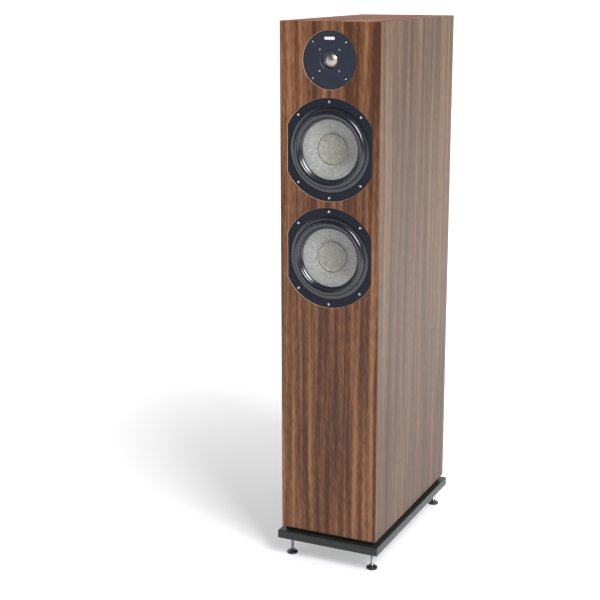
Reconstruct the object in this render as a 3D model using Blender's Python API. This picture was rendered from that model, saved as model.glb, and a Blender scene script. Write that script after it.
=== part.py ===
"""A slim floorstanding loudspeaker: two woofers and a dome tweeter in a mitred cabinet on a plinth.

Frame: +Z up, the front faces -Y, and the origin is on the floor under the middle of the plinth.
Every length is in metres. Drivers are drawn as turned profiles of (radius, depth), where depth is
measured backwards from the cabinet's front face.
"""

from math import cos, pi, radians, sin

import bmesh
import bpy
from mathutils import Vector

MM = 0.001

# ---------------------------------------------------------------- driving dimensions
CABINET_WIDTH = 190 * MM
CABINET_DEPTH = 375 * MM
CABINET_HEIGHT = 940 * MM
PANEL = 18 * MM  # thickness of each cabinet panel
FIT_GAP = 0.3 * MM  # air kept between pieces that touch
MITRE_INSET = 0.21 * MM  # leaves FIT_GAP between two mitred edges

FOOT_HEIGHT = 36.5 * MM  # floor to the underside of the plinth
PLINTH_THICKNESS = 16 * MM
PLINTH_OVERHANG = 6 * MM
REVEAL_HEIGHT = 7.5 * MM  # shadow gap between plinth and cabinet
REVEAL_INSET = 6 * MM

TWEETER_BELOW_TOP = 65.5 * MM
UPPER_WOOFER_BELOW_TOP = 220.3 * MM
LOWER_WOOFER_BELOW_TOP = 412.8 * MM

WOOFER_RADIUS = 89.8 * MM  # outside of the cast flange
WOOFER_FLAT = 79.8 * MM  # half the width across the flange's two flats
TWEETER_RADIUS = 49.8 * MM
MOUNT_GAP = 0.7 * MM  # round each flange, in its recess

FOOT_X = 82 * MM
FOOT_Y = 169.5 * MM
STUD_RADIUS = 3 * MM
STUD_HOLE_RADIUS = 3.6 * MM

PORT_Z = 430 * MM
PORT_BORE = 27 * MM
TERMINAL_Z = 215 * MM
POST_SPACING = 26 * MM

VISIBLE_STEPS = 28  # sides of a large turned piece
HIDDEN_STEPS = 16
PORT_STEPS = 24
FOOT_STEPS = 20
SMALL_STEPS = 14

# ---------------------------------------------------------------- levels and faces worked out
PLINTH_BOTTOM = FOOT_HEIGHT
PLINTH_TOP = PLINTH_BOTTOM + PLINTH_THICKNESS
CABINET_BOTTOM = PLINTH_TOP + REVEAL_HEIGHT
CABINET_TOP = CABINET_BOTTOM + CABINET_HEIGHT
FRONT = -CABINET_DEPTH / 2
BACK = CABINET_DEPTH / 2
INNER_X = CABINET_WIDTH / 2 - PANEL
INNER_Y = CABINET_DEPTH / 2 - PANEL


# ================================================================ helpers
def clear_scene():
    for item in list(bpy.data.objects):
        bpy.data.objects.remove(item)


def finish(name, colour, roughness, metallic=0.0):
    """A Principled material in one colour."""
    made = bpy.data.materials.new(name)
    made.use_nodes = True
    shader = made.node_tree.nodes["Principled BSDF"]
    shader.inputs["Base Color"].default_value = (*colour, 1.0)
    shader.inputs["Roughness"].default_value = roughness
    shader.inputs["Metallic"].default_value = metallic
    made.diffuse_color = (*colour, 1.0)
    return made


def place(name, bm, look, at=(0, 0, 0), parent=None):
    """Makes the object of a bmesh, welded and with its faces pointing out."""
    bmesh.ops.remove_doubles(bm, verts=bm.verts, dist=1e-6)
    bmesh.ops.recalc_face_normals(bm, faces=bm.faces)
    mesh = bpy.data.meshes.new(name)
    bm.to_mesh(mesh)
    bm.free()
    mesh.shade_smooth()
    mesh.set_sharp_from_angle(angle=radians(35))
    made = bpy.data.objects.new(name, mesh)
    made.location = at
    made.parent = parent
    if look:
        mesh.materials.append(look)
    bpy.context.scene.collection.objects.link(made)
    return made


def turned(profile, steps, flat=None):
    """A profile of (radius, height) spun round Z. It closes on itself unless it starts and ends on
    the axis. With flat, nothing stands further out than that along X."""
    bm = bmesh.new()
    points = [bm.verts.new((radius, 0, height)) for radius, height in profile]
    pairs = list(zip(points, points[1:]))
    if profile[0][0] > 0:
        pairs.append((points[-1], points[0]))
    edges = [bm.edges.new(pair) for pair in pairs]
    bmesh.ops.spin(
        bm,
        geom=points + edges,
        cent=(0, 0, 0),
        axis=(0, 0, 1),
        angle=2 * pi,
        steps=steps,
        use_merge=True,
    )
    if flat:
        for vert in bm.verts:
            vert.co.x = min(flat, max(-flat, vert.co.x))
    return bm


def box(low, high):
    bm = bmesh.new()
    bmesh.ops.create_cube(bm, size=1)
    for vert in bm.verts:
        vert.co = [lo + (hi - lo) * (axis + 0.5) for lo, hi, axis in zip(low, high, vert.co)]
    return bm


def rounded_ring(half_x, half_z, corner, y, arc=3):
    """Points round a rectangle with round corners, in the plane of one y."""
    points = []
    for quarter, (side_x, side_z) in enumerate(((1, 1), (-1, 1), (-1, -1), (1, -1))):
        for step in range(arc + 1):
            angle = (quarter + step / arc) * pi / 2
            x = side_x * (half_x - corner) + corner * cos(angle)
            z = side_z * (half_z - corner) + corner * sin(angle)
            points.append((x, y, z))
    return points


def lofted(rings):
    """A solid skinned over rings of equal point count, capped at both ends."""
    bm = bmesh.new()
    loops = [[bm.verts.new(point) for point in ring] for ring in rings]
    for first, second in zip(loops, loops[1:]):
        for i in range(len(first)):
            j = (i + 1) % len(first)
            bm.faces.new((first[i], first[j], second[j], second[i]))
    bm.faces.new(loops[0])
    bm.faces.new(loops[-1])
    return bm


def hide(helper):
    helper.hide_render = True
    helper.display_type = "WIRE"
    return helper


def shape(target, tool, operation="DIFFERENCE"):
    """A Boolean on target by a helper object that isn't part of the speaker."""
    hide(tool)
    modifier = target.modifiers.new(tool.name, "BOOLEAN")
    modifier.operation = operation
    modifier.object = tool
    return target


def round_edges(target, width, segments=2):
    modifier = target.modifiers.new("round_edges", "BEVEL")
    modifier.width = width
    modifier.segments = segments
    modifier.limit_method = "ANGLE"
    modifier.angle_limit = radians(50)
    return target


def axis_empty(name, at, facing_back=True):
    """An empty whose Z is a driver's or a post's axis, running back into the cabinet or up."""
    made = bpy.data.objects.new(name, None)
    made.location = at
    made.rotation_euler = (-pi / 2, 0, 0) if facing_back else (0, 0, 0)
    made.empty_display_size = 0.05
    bpy.context.scene.collection.objects.link(made)
    return made


# ================================================================ cabinet
def mitred_panel(name, half_a, half_b, place_point, look):
    """A slab whose outer face is the larger: each edge is cut at 45 degrees for its neighbour.
    place_point turns (a, b, depth from the outer face) into a point of the cabinet."""
    bm = bmesh.new()
    faces = []
    for depth in (0, PANEL):
        a = half_a - MITRE_INSET - depth
        b = half_b - MITRE_INSET - depth
        corners = ((-a, -b), (a, -b), (a, b), (-a, b))
        faces.append([bm.verts.new(place_point(x, y, depth)) for x, y in corners])
    outer, inner = faces
    bm.faces.new(outer)
    bm.faces.new(inner)
    for i in range(4):
        j = (i + 1) % 4
        bm.faces.new((outer[i], outer[j], inner[j], inner[i]))
    return place(name, bm, look)


def cabinet_panels(walnut):
    half_x, half_y = CABINET_WIDTH / 2, CABINET_DEPTH / 2
    half_z, middle = CABINET_HEIGHT / 2, (CABINET_BOTTOM + CABINET_TOP) / 2
    front = mitred_panel("front_baffle", half_x, half_z,
                         lambda a, b, d: (a, FRONT + d, middle + b), walnut)
    back = mitred_panel("back_panel", half_x, half_z,
                        lambda a, b, d: (a, BACK - d, middle + b), walnut)
    mitred_panel("left_side_panel", half_y, half_z,
                 lambda a, b, d: (-half_x + d, a, middle + b), walnut)
    mitred_panel("right_side_panel", half_y, half_z,
                 lambda a, b, d: (half_x - d, a, middle + b), walnut)
    mitred_panel("top_panel", half_x, half_y,
                 lambda a, b, d: (a, b, CABINET_TOP - d), walnut)
    mitred_panel("bottom_panel", half_x, half_y,
                 lambda a, b, d: (a, b, CABINET_BOTTOM + d), walnut)
    return front, back


def brace(name, z, look):
    """A horizontal window brace glued between all four walls."""
    thickness = 15 * MM
    half_x, half_y = INNER_X - FIT_GAP, INNER_Y - FIT_GAP
    made = place(name, box((-half_x, -half_y, z), (half_x, half_y, z + thickness)), look)
    window_half, window_length, web = 50 * MM, 92 * MM, 24 * MM
    for number, side in enumerate((-1, 0, 1)):
        centre = side * (window_length + web) * 0.92
        low = (-window_half, centre - window_length / 2, z - thickness)
        high = (window_half, centre + window_length / 2, z + 2 * thickness)
        tool = place(f"{name}_window_{number}", box(low, high), None)
        shape(made, tool)
    return made


def driver_opening(panel, name, at, recess_radius, recess_depth, hole_radius, flat=None):
    """A flush recess for a driver's flange and the through hole behind it."""
    in_front, behind = -5 * MM, PANEL + 5 * MM
    profile = [(0, in_front), (recess_radius, in_front), (recess_radius, recess_depth),
               (hole_radius, recess_depth), (hole_radius, behind), (0, behind)]
    tool = place(name, turned(profile, VISIBLE_STEPS, flat), None, parent=at)
    shape(panel, tool)


def screw_recesses(flange, name, at, places, radius, face, floor):
    """Blind counterbores for screw heads, at (distance from the axis, angle in degrees)."""
    for number, (distance, angle) in enumerate(places):
        profile = [(0, face - 2 * MM), (radius, face - 2 * MM), (radius, floor), (0, floor)]
        tool = place(f"{name}_recess_{number}", turned(profile, 8), None, parent=at)
        tool.location = (distance * cos(radians(angle)), distance * sin(radians(angle)), 0)
        shape(flange, tool)


# ================================================================ plinth and feet
def plinth(black, painted):
    half_x = CABINET_WIDTH / 2 + PLINTH_OVERHANG
    half_y = CABINET_DEPTH / 2 + PLINTH_OVERHANG
    board = place("plinth_board",
                  box((-half_x, -half_y, PLINTH_BOTTOM), (half_x, half_y, PLINTH_TOP)), black)
    round_edges(board, 1.2 * MM)
    inset_x, inset_y = CABINET_WIDTH / 2 - REVEAL_INSET, CABINET_DEPTH / 2 - REVEAL_INSET
    low = (-inset_x, -inset_y, PLINTH_TOP + FIT_GAP)
    high = (inset_x, inset_y, CABINET_BOTTOM - FIT_GAP)
    return board, place("plinth_spacer", box(low, high), painted)


def foot(number, x, y, board, spacer, gloss_black, steel):
    """A levelling foot: a disc that stays put on the floor and a stud that turns in its socket."""
    at = axis_empty(f"foot_axis_{number}", (x, y, 0), facing_back=False)
    disc_radius, rim, hub_radius, hub_top = 10.5 * MM, 3.2 * MM, 4.8 * MM, 8 * MM
    socket_radius, socket_floor = 3.4 * MM, 3 * MM
    disc = [(0, 0), (disc_radius - 0.6 * MM, 0), (disc_radius, 0.6 * MM), (disc_radius, rim),
            (disc_radius - 0.8 * MM, rim + 0.7 * MM), (hub_radius, 5 * MM), (hub_radius, hub_top),
            (socket_radius, hub_top), (socket_radius, socket_floor), (0, socket_floor)]
    place(f"foot_base_{number}", turned(disc, FOOT_STEPS), gloss_black, parent=at)
    stud_top, tip = PLINTH_TOP - 2 * MM, 1 * MM
    stud = [(0, socket_floor + FIT_GAP), (STUD_RADIUS - tip, socket_floor + FIT_GAP),
            (STUD_RADIUS, socket_floor + FIT_GAP + tip), (STUD_RADIUS, stud_top - tip),
            (STUD_RADIUS - tip, stud_top), (0, stud_top)]
    place(f"foot_stud_{number}", turned(stud, SMALL_STEPS), steel, parent=at)
    hole = [(0, PLINTH_BOTTOM - 5 * MM), (STUD_HOLE_RADIUS, PLINTH_BOTTOM - 5 * MM),
            (STUD_HOLE_RADIUS, CABINET_BOTTOM), (0, CABINET_BOTTOM)]
    tool = place(f"foot_hole_{number}", turned(hole, SMALL_STEPS), None, parent=at)
    shape(board, tool)
    shape(spacer, tool)


# ================================================================ woofer
FLANGE_FACE = 0.4 * MM  # the flange sits this far below the baffle's face
FLANGE_BACK = 4.0 * MM
WOOFER_RECESS = 5.6 * MM
WOOFER_HOLE = 74.6 * MM
COIL_INNER, COIL_OUTER = 12.6 * MM, 13.3 * MM


def cone_depth(radius):
    """Depth of the cone's front surface: 5 mm at its edge and 25.5 mm at its neck, on a curve
    that steepens towards the coil."""
    edge, neck = 54 * MM, 13.6 * MM
    share = (edge - radius) / (edge - neck)
    return (5 + 20.5 * share ** 1.45) * MM


def basket(name, at, look):
    """Cast frame: flange with two flats, a spoked bowl, the spider's ledge and the rear plate."""
    slope = 21.5 / 45.6  # the bowl narrows by this much for each unit of depth
    bowl_top, wall = 73 * MM, 3 * MM

    def outside(depth):
        return bowl_top - (depth - FLANGE_BACK) * slope

    ledge_face, ledge_back, plate_face, plate_back = 35.2 * MM, 38 * MM, 50.5 * MM, 54 * MM
    profile = [(WOOFER_RADIUS, FLANGE_FACE), (WOOFER_RADIUS, FLANGE_BACK), (bowl_top, FLANGE_BACK),
               (outside(plate_face), plate_face), (outside(plate_face), plate_back),
               (28 * MM, plate_back), (28 * MM, plate_face), (outside(plate_face) - wall, plate_face),
               (outside(ledge_back) - wall, ledge_back), (46 * MM, ledge_back), (46 * MM, ledge_face),
               (outside(ledge_face) - wall, ledge_face), (69.2 * MM, 6 * MM), (69.2 * MM, 2.4 * MM),
               (75.6 * MM, 2.4 * MM), (75.6 * MM, FLANGE_FACE)]
    frame = place(name, turned(profile, VISIBLE_STEPS, WOOFER_FLAT), look, parent=at)
    half_width, reach, window_front, window_back = 22 * MM, 90 * MM, 11 * MM, 33 * MM
    for number in range(3):
        low, high = (-half_width, -reach, window_front), (half_width, reach, window_back)
        tool = place(f"{name}_window_{number}", box(low, high), None, parent=at)
        tool.rotation_euler.z = radians(30 + 60 * number)
        shape(frame, tool)
    places = [(84 * MM, angle) for angle in (45, 90, 135, 225, 270, 315)]
    screw_recesses(frame, name, at, places, 3.8 * MM, FLANGE_FACE, 2.6 * MM)
    return frame


def surround(name, at, look):
    """Half-roll rubber edge, from its lip on the flange to its lip on the cone."""
    wall, middle, half_width, height = 0.9 * MM, 62.3 * MM, 6.3 * MM, 5.6 * MM
    lip_front, lip_back, lip_out = 1.2 * MM, 2.1 * MM, 75.0 * MM
    cone_lip_front, cone_lip_in = 3.8 * MM, 52.8 * MM
    arc = [pi * step / 5 for step in range(6)]
    front = [(middle + half_width * cos(a), lip_front - height * sin(a)) for a in arc]
    inner = half_width - wall
    back = [(middle + inner * cos(a), lip_back - (height - wall * 0.4) * sin(a)) for a in reversed(arc)]
    profile = [(lip_out, lip_back), (lip_out, lip_front), *front, (cone_lip_in, cone_lip_front),
               (cone_lip_in, cone_lip_front + wall), *back]
    return place(name, turned(profile, VISIBLE_STEPS), look, parent=at)


def cone(name, at, look):
    wall = 0.9 * MM
    radii = [54, 40, 27, 19, 13.7]
    front = [(r * MM, cone_depth(r * MM)) for r in radii]
    back = [(r, depth + wall) for r, depth in reversed(front)]
    return place(name, turned(front + back, VISIBLE_STEPS), look, parent=at)


def dust_cap(name, at, look):
    """A dished cap that stands on the cone by its rim, hollow side to the front."""
    rim, wall, dish = 27 * MM, 0.9 * MM, 6.2 * MM
    foot_depth = cone_depth(rim) - FIT_GAP
    rim_front = foot_depth - 2.2 * MM
    shares = [1, 0.75, 0.4]
    inside = rim - wall
    front = [(inside * s, rim_front + 0.3 * MM + dish * (1 - s * s)) for s in shares]
    back = [(inside * s, depth + wall) for s, (_, depth) in zip(shares[1:], front[1:])]
    profile = [(0, rim_front + 0.3 * MM + dish), *reversed(front), (rim - wall / 2, rim_front),
               (rim, rim_front + 0.3 * MM), (rim, foot_depth), (rim - wall, foot_depth - 0.2 * MM),
               *back, (0, rim_front + 0.3 * MM + dish + wall)]
    return place(name, turned(profile, VISIBLE_STEPS), look, parent=at)


def voice_coil(name, at, look):
    """Paper former with its winding at the gap end."""
    former_front, winding_front, back = 26.7 * MM, 50 * MM, 63 * MM
    winding = COIL_OUTER + 0.3 * MM
    profile = [(COIL_INNER, former_front), (COIL_OUTER, former_front), (COIL_OUTER, winding_front),
               (winding, winding_front), (winding, back), (COIL_INNER, back)]
    return place(name, turned(profile, HIDDEN_STEPS), look, parent=at)


def spider(name, at, look):
    """Corrugated suspension disc from the former to the basket's ledge."""
    inner, outer, middle, wave, wall = 13.6 * MM, 52 * MM, 33.4 * MM, 0.9 * MM, 0.6 * MM
    count = 8
    front = []
    for step in range(count + 1):
        height = 0 if step == 0 else wave * (-1) ** step
        front.append((inner + (outer - inner) * step / count, middle + height))
    back = [(r, depth + wall) for r, depth in reversed(front)]
    return place(name, turned(front + back, HIDDEN_STEPS), look, parent=at)


def motor(name, at, steel, ferrite):
    """Top plate, ring magnet and the yoke whose pole stands inside the coil."""
    plate_front, plate_back, magnet_back, yoke_back = 54.3 * MM, 60.3 * MM, 78 * MM, 84 * MM
    plate_hole, plate_radius, magnet_radius, pole = 14.4 * MM, 49 * MM, 50 * MM, 11.9 * MM
    plate = [(plate_hole, plate_front), (plate_radius, plate_front), (plate_radius, plate_back),
             (plate_hole, plate_back)]
    place(f"{name}_top_plate", turned(plate, HIDDEN_STEPS), steel, parent=at)
    magnet_front = plate_back + FIT_GAP
    magnet = [(22 * MM, magnet_front), (magnet_radius, magnet_front), (magnet_radius, magnet_back),
              (22 * MM, magnet_back)]
    place(f"{name}_magnet", turned(magnet, HIDDEN_STEPS), ferrite, parent=at)
    vent, yoke_front = 4 * MM, magnet_back + FIT_GAP
    yoke = [(vent, plate_front), (pole, plate_front), (pole, yoke_front), (48 * MM, yoke_front),
            (48 * MM, yoke_back), (vent, yoke_back)]
    place(f"{name}_yoke", turned(yoke, HIDDEN_STEPS), steel, parent=at)


def woofer(name, z, looks, baffle):
    at = axis_empty(f"{name}_axis", (0, FRONT, z))
    driver_opening(baffle, f"{name}_opening", at, WOOFER_RADIUS + MOUNT_GAP, WOOFER_RECESS,
                   WOOFER_HOLE, WOOFER_FLAT + MOUNT_GAP)
    basket(f"{name}_basket", at, looks["cast_black"])
    ring_front, ring_back = FLANGE_BACK + FIT_GAP, WOOFER_RECESS - FIT_GAP
    ring = [(WOOFER_HOLE + 1 * MM, ring_front), (WOOFER_RADIUS - 1 * MM, ring_front),
            (WOOFER_RADIUS - 1 * MM, ring_back), (WOOFER_HOLE + 1 * MM, ring_back)]
    place(f"{name}_gasket", turned(ring, VISIBLE_STEPS, WOOFER_FLAT - 1 * MM), looks["foam"], parent=at)
    surround(f"{name}_surround", at, looks["rubber"])
    cone(f"{name}_cone", at, looks["woven"])
    dust_cap(f"{name}_dust_cap", at, looks["woven"])
    voice_coil(f"{name}_voice_coil", at, looks["copper"])
    spider(f"{name}_spider", at, looks["spider_cloth"])
    motor(name, at, looks["steel"], looks["ferrite"])


# ================================================================ tweeter
def tweeter(z, looks, baffle):
    at = axis_empty("tweeter_axis", (0, FRONT, z))
    driver_opening(baffle, "tweeter_opening", at, TWEETER_RADIUS + MOUNT_GAP, 4.3 * MM, 38 * MM)
    face, face_back, mouth, throat = 0.4 * MM, 4.0 * MM, 18.5 * MM, 16.4 * MM
    plate = [(TWEETER_RADIUS, face), (TWEETER_RADIUS, face_back), (throat, face_back),
             (throat, 2.2 * MM), (mouth, face)]
    cover = place("tweeter_faceplate", turned(plate, VISIBLE_STEPS), looks["satin_black"], parent=at)
    corners = (45, 135, 225, 315)
    screw_recesses(cover, "mounting", at, [(44 * MM, angle) for angle in corners], 3.4 * MM, face, 2.6 * MM)
    screw_recesses(cover, "chassis", at, [(25.7 * MM, angle) for angle in corners], 2.3 * MM, face, 2.2 * MM)
    dome_radius, dome_base, rise, wall = 12.4 * MM, 5.4 * MM, 5.2 * MM, 0.4 * MM
    shares = [1, 0.85, 0.6, 0.3]
    outside = [(dome_radius * s, dome_base - rise * (1 - s * s)) for s in shares]
    inside = [(dome_radius * s - wall * s, dome_base + wall - rise * (1 - s * s)) for s in shares]
    dome = [(0, dome_base - rise), *reversed(outside), *inside, (0, dome_base + wall - rise)]
    place("tweeter_dome", turned(dome, HIDDEN_STEPS), looks["dome_metal"], parent=at)
    roll_in, roll_out, roll_base, roll_wall = 12.7 * MM, 17.4 * MM, 5.6 * MM, 0.4 * MM
    middle, half = (roll_in + roll_out) / 2, (roll_out - roll_in) / 2
    arc = [pi * step / 4 for step in range(5)]
    front = [(middle - half * cos(a), roll_base - 1.4 * MM * sin(a)) for a in arc]
    back = [(r, depth + roll_wall) for r, depth in reversed(front)]
    place("tweeter_surround", turned(front + back, HIDDEN_STEPS), looks["rubber"], parent=at)
    coil_front, coil_back = 6.1 * MM, 11.5 * MM
    coil = [(12.1 * MM, coil_front), (12.6 * MM, coil_front), (12.6 * MM, coil_back),
            (12.1 * MM, coil_back)]
    place("tweeter_voice_coil", turned(coil, HIDDEN_STEPS), looks["copper"], parent=at)
    top_plate = [(13.2 * MM, 6.5 * MM), (36 * MM, 6.5 * MM), (36 * MM, 10.5 * MM),
                 (13.2 * MM, 10.5 * MM)]
    place("tweeter_top_plate", turned(top_plate, HIDDEN_STEPS), looks["steel"], parent=at)
    magnet = [(18 * MM, 10.8 * MM), (36 * MM, 10.8 * MM), (36 * MM, 24 * MM), (18 * MM, 24 * MM)]
    place("tweeter_magnet", turned(magnet, HIDDEN_STEPS), looks["ferrite"], parent=at)
    pole, yoke_front, yoke_back = 11.5 * MM, 24.3 * MM, 29 * MM
    yoke = [(0, 7 * MM), (pole, 7 * MM), (pole, yoke_front), (34 * MM, yoke_front),
            (34 * MM, yoke_back), (0, yoke_back)]
    place("tweeter_yoke", turned(yoke, HIDDEN_STEPS), looks["steel"], parent=at)


# ================================================================ rear: port and terminals
def port(panel, look):
    """Flared bass-reflex tube. Its profile depth runs forwards from the back panel's outer face."""
    at = axis_empty("port_axis", (0, BACK, PORT_Z))
    at.rotation_euler = (pi / 2, 0, 0)
    lip, length, wall, flare, flange = 2.4 * MM, 135 * MM, 2.5 * MM, 9 * MM, 43 * MM
    quarter = [pi / 2 * step / 3 for step in range(4)]
    mouth = [(PORT_BORE + flare * (1 - sin(a)), -lip + flare * (1 - cos(a))) for a in quarter]
    end = [(PORT_BORE + flare * (1 - cos(a)), length - flare * (1 - sin(a))) for a in quarter]
    rear = flare - wall
    behind = [(PORT_BORE + flare - rear * cos(a), length - flare + rear * sin(a)) for a in quarter]
    profile = [*mouth, *end, *reversed(behind), (PORT_BORE + wall, 12 * MM),
               (PORT_BORE + wall + 4 * MM, 6 * MM), (PORT_BORE + wall + 4 * MM, -FIT_GAP),
               (flange, -FIT_GAP), (flange, -lip + 0.6 * MM), (flange - 0.8 * MM, -lip)]
    place("port_tube", turned(profile, PORT_STEPS), look, parent=at)
    hole_radius = PORT_BORE + wall + 4.6 * MM
    hole = [(0, -5 * MM), (hole_radius, -5 * MM), (hole_radius, PANEL + 5 * MM), (0, PANEL + 5 * MM)]
    shape(panel, place("port_hole", turned(hole, PORT_STEPS), None, parent=at))


CUP_DEPTH = 23 * MM
CUP_WALL = 2.5 * MM
CUP_HALF_X, CUP_HALF_Z = 33 * MM, 24 * MM


def terminal_cup(panel, look):
    """Recessed dish with a flange, screwed over a rectangular opening in the back panel."""
    at = bpy.data.objects.new("terminal_place", None)
    at.location = (0, BACK, TERMINAL_Z)
    bpy.context.scene.collection.objects.link(at)
    lip, corner, floor = 2.4 * MM, 9 * MM, -CUP_DEPTH
    flange_x, flange_z, draft = 48 * MM, 38 * MM, 2 * MM
    rings = [rounded_ring(CUP_HALF_X - draft, CUP_HALF_Z - draft, corner - draft, floor),
             rounded_ring(CUP_HALF_X, CUP_HALF_Z, corner, lip),
             rounded_ring(flange_x - 0.8 * MM, flange_z - 0.8 * MM, corner, lip),
             rounded_ring(flange_x, flange_z, corner, lip - 0.8 * MM),
             rounded_ring(flange_x, flange_z, corner, FIT_GAP),
             rounded_ring(CUP_HALF_X + CUP_WALL, CUP_HALF_Z + CUP_WALL, corner, FIT_GAP),
             rounded_ring(CUP_HALF_X + CUP_WALL - draft, CUP_HALF_Z + CUP_WALL - draft, corner - draft,
                          floor - CUP_WALL)]
    cup = place("terminal_cup", lofted(rings), look, parent=at)
    margin = CUP_WALL + 0.8 * MM
    opening = [rounded_ring(CUP_HALF_X + margin, CUP_HALF_Z + margin, corner, y * MM) for y in (-30, 5)]
    shape(panel, place("terminal_opening", lofted(opening), None, parent=at))
    return cup


def binding_post(name, x, cup, looks, cap_look):
    """Post fixed in the cup, a clamping washer that slides on it and a knob that screws along it."""
    at = axis_empty(f"{name}_axis", (x, BACK - CUP_DEPTH, TERMINAL_Z))
    shaft, collar, bore, lug_end, end = 3 * MM, 7 * MM, 2.05 * MM, -14 * MM, 19.5 * MM
    collar_front, socket_floor = 3.2 * MM, 4 * MM
    post = [(0, lug_end), (shaft - 0.5 * MM, lug_end), (shaft, lug_end + 0.5 * MM), (shaft, FIT_GAP),
            (collar, FIT_GAP), (collar, collar_front - 0.5 * MM), (collar - 0.5 * MM, collar_front),
            (shaft, collar_front), (shaft, end), (bore, end), (bore, socket_floor), (0, socket_floor)]
    place(f"{name}_post", turned(post, SMALL_STEPS), looks["gold"], parent=at)
    clear, washer_back, washer_front = 3.45 * MM, collar_front + FIT_GAP, collar_front + 1.5 * MM
    washer = [(clear, washer_back), (6 * MM, washer_back), (6 * MM, washer_front), (clear, washer_front)]
    place(f"{name}_washer", turned(washer, SMALL_STEPS), looks["gold"], parent=at)
    knob_back, knob_front, grip, skirt = washer_front + FIT_GAP, 21 * MM, 6.3 * MM, 7.2 * MM
    knob = [(clear, knob_back), (skirt, knob_back), (skirt, knob_back + 4 * MM), (grip, knob_back + 5 * MM),
            (grip, knob_front - 0.8 * MM), (grip - 0.8 * MM, knob_front), (clear, knob_front)]
    place(f"{name}_knob", turned(knob, SMALL_STEPS), cap_look, parent=at)
    hole_radius = shaft + 0.4 * MM
    hole = [(0, -8 * MM), (hole_radius, -8 * MM), (hole_radius, 3 * MM), (0, 3 * MM)]
    shape(cup, place(f"{name}_hole", turned(hole, SMALL_STEPS), None, parent=at))


# ================================================================ inside the cabinet
BOARD_FLOOR = CABINET_BOTTOM + PANEL
BOARD_BOTTOM = BOARD_FLOOR + 9 * MM
BOARD_TOP = BOARD_BOTTOM + 1.6 * MM
BOARD_Y = 75 * MM


def crossover(looks):
    """Filter board on four pillars, with its coil, two capacitors and a cement resistor."""
    half_x, half_y = 58 * MM, 45 * MM
    board = place("crossover_board",
                  box((-half_x, BOARD_Y - half_y, BOARD_BOTTOM), (half_x, BOARD_Y + half_y, BOARD_TOP)),
                  looks["board_green"])
    for number, (side_x, side_y) in enumerate(((-1, -1), (1, -1), (-1, 1), (1, 1))):
        radius, height = 3.5 * MM, BOARD_BOTTOM - BOARD_FLOOR
        pillar = [(0, FIT_GAP), (radius, FIT_GAP), (radius, height + 0.8 * MM), (0, height + 0.8 * MM)]
        tool = place(f"board_pillar_{number}", turned(pillar, 12), looks["board_green"],
                     at=(side_x * (half_x - 7 * MM), BOARD_Y + side_y * (half_y - 7 * MM), BOARD_FLOOR))
        shape(board, tool, "UNION")
    coil = [(9 * MM, 0), (23 * MM, 0), (24 * MM, 1 * MM), (24 * MM, 19 * MM), (23 * MM, 20 * MM),
            (9 * MM, 20 * MM)]
    place("crossover_inductor", turned(coil, HIDDEN_STEPS), looks["copper"],
          at=(-29 * MM, BOARD_Y - 14 * MM, BOARD_TOP + FIT_GAP))
    radius, length = 9 * MM, 34 * MM
    can = [(0, 0), (radius - 1 * MM, 0), (radius, 1 * MM), (radius, length - 1 * MM),
           (radius - 1 * MM, length), (0, length)]
    for number, y in enumerate((BOARD_Y - 28 * MM, BOARD_Y - 6 * MM)):
        made = place(f"crossover_capacitor_{number + 1}", turned(can, SMALL_STEPS), looks["film_yellow"],
                     at=(10 * MM, y, BOARD_TOP + radius + FIT_GAP))
        made.rotation_euler = (0, pi / 2, 0)
    low = (-5 * MM, BOARD_Y + 22 * MM, BOARD_TOP + FIT_GAP)
    high = (43 * MM, BOARD_Y + 32 * MM, BOARD_TOP + FIT_GAP + 9.5 * MM)
    place("crossover_resistor", box(low, high), looks["cement"])


def smooth_path(route, spacing):
    """Points on a Catmull-Rom curve through the route, about spacing apart."""
    route = [Vector(point) for point in route]
    ends = [2 * route[0] - route[1], *route, 2 * route[-1] - route[-2]]
    points = []
    for p0, p1, p2, p3 in zip(ends, ends[1:], ends[2:], ends[3:]):
        count = max(2, round((p2 - p1).length / spacing))
        for step in range(count):
            t = step / count
            points.append(0.5 * ((2 * p1) + (p2 - p0) * t + (2 * p0 - 5 * p1 + 4 * p2 - p3) * t * t
                                 + (3 * p1 - p0 - 3 * p2 + p3) * t ** 3))
    return [*points, route[-1]]


def lead(name, route, radius, look):
    """A two-core lead swept along a smooth route, as a closed tube."""
    sides = 6
    path = smooth_path(route, 24 * MM)
    side = Vector((0.37, 0.81, 0.45)).normalized()
    rings = []
    for i, point in enumerate(path):
        ahead = (path[min(i + 1, len(path) - 1)] - path[max(i - 1, 0)]).normalized()
        side = (side - ahead * side.dot(ahead)).normalized()
        up = ahead.cross(side)
        rings.append([point + radius * (cos(2 * pi * k / sides) * side + sin(2 * pi * k / sides) * up)
                      for k in range(sides)])
    return place(name, lofted(rings), look)


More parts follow.
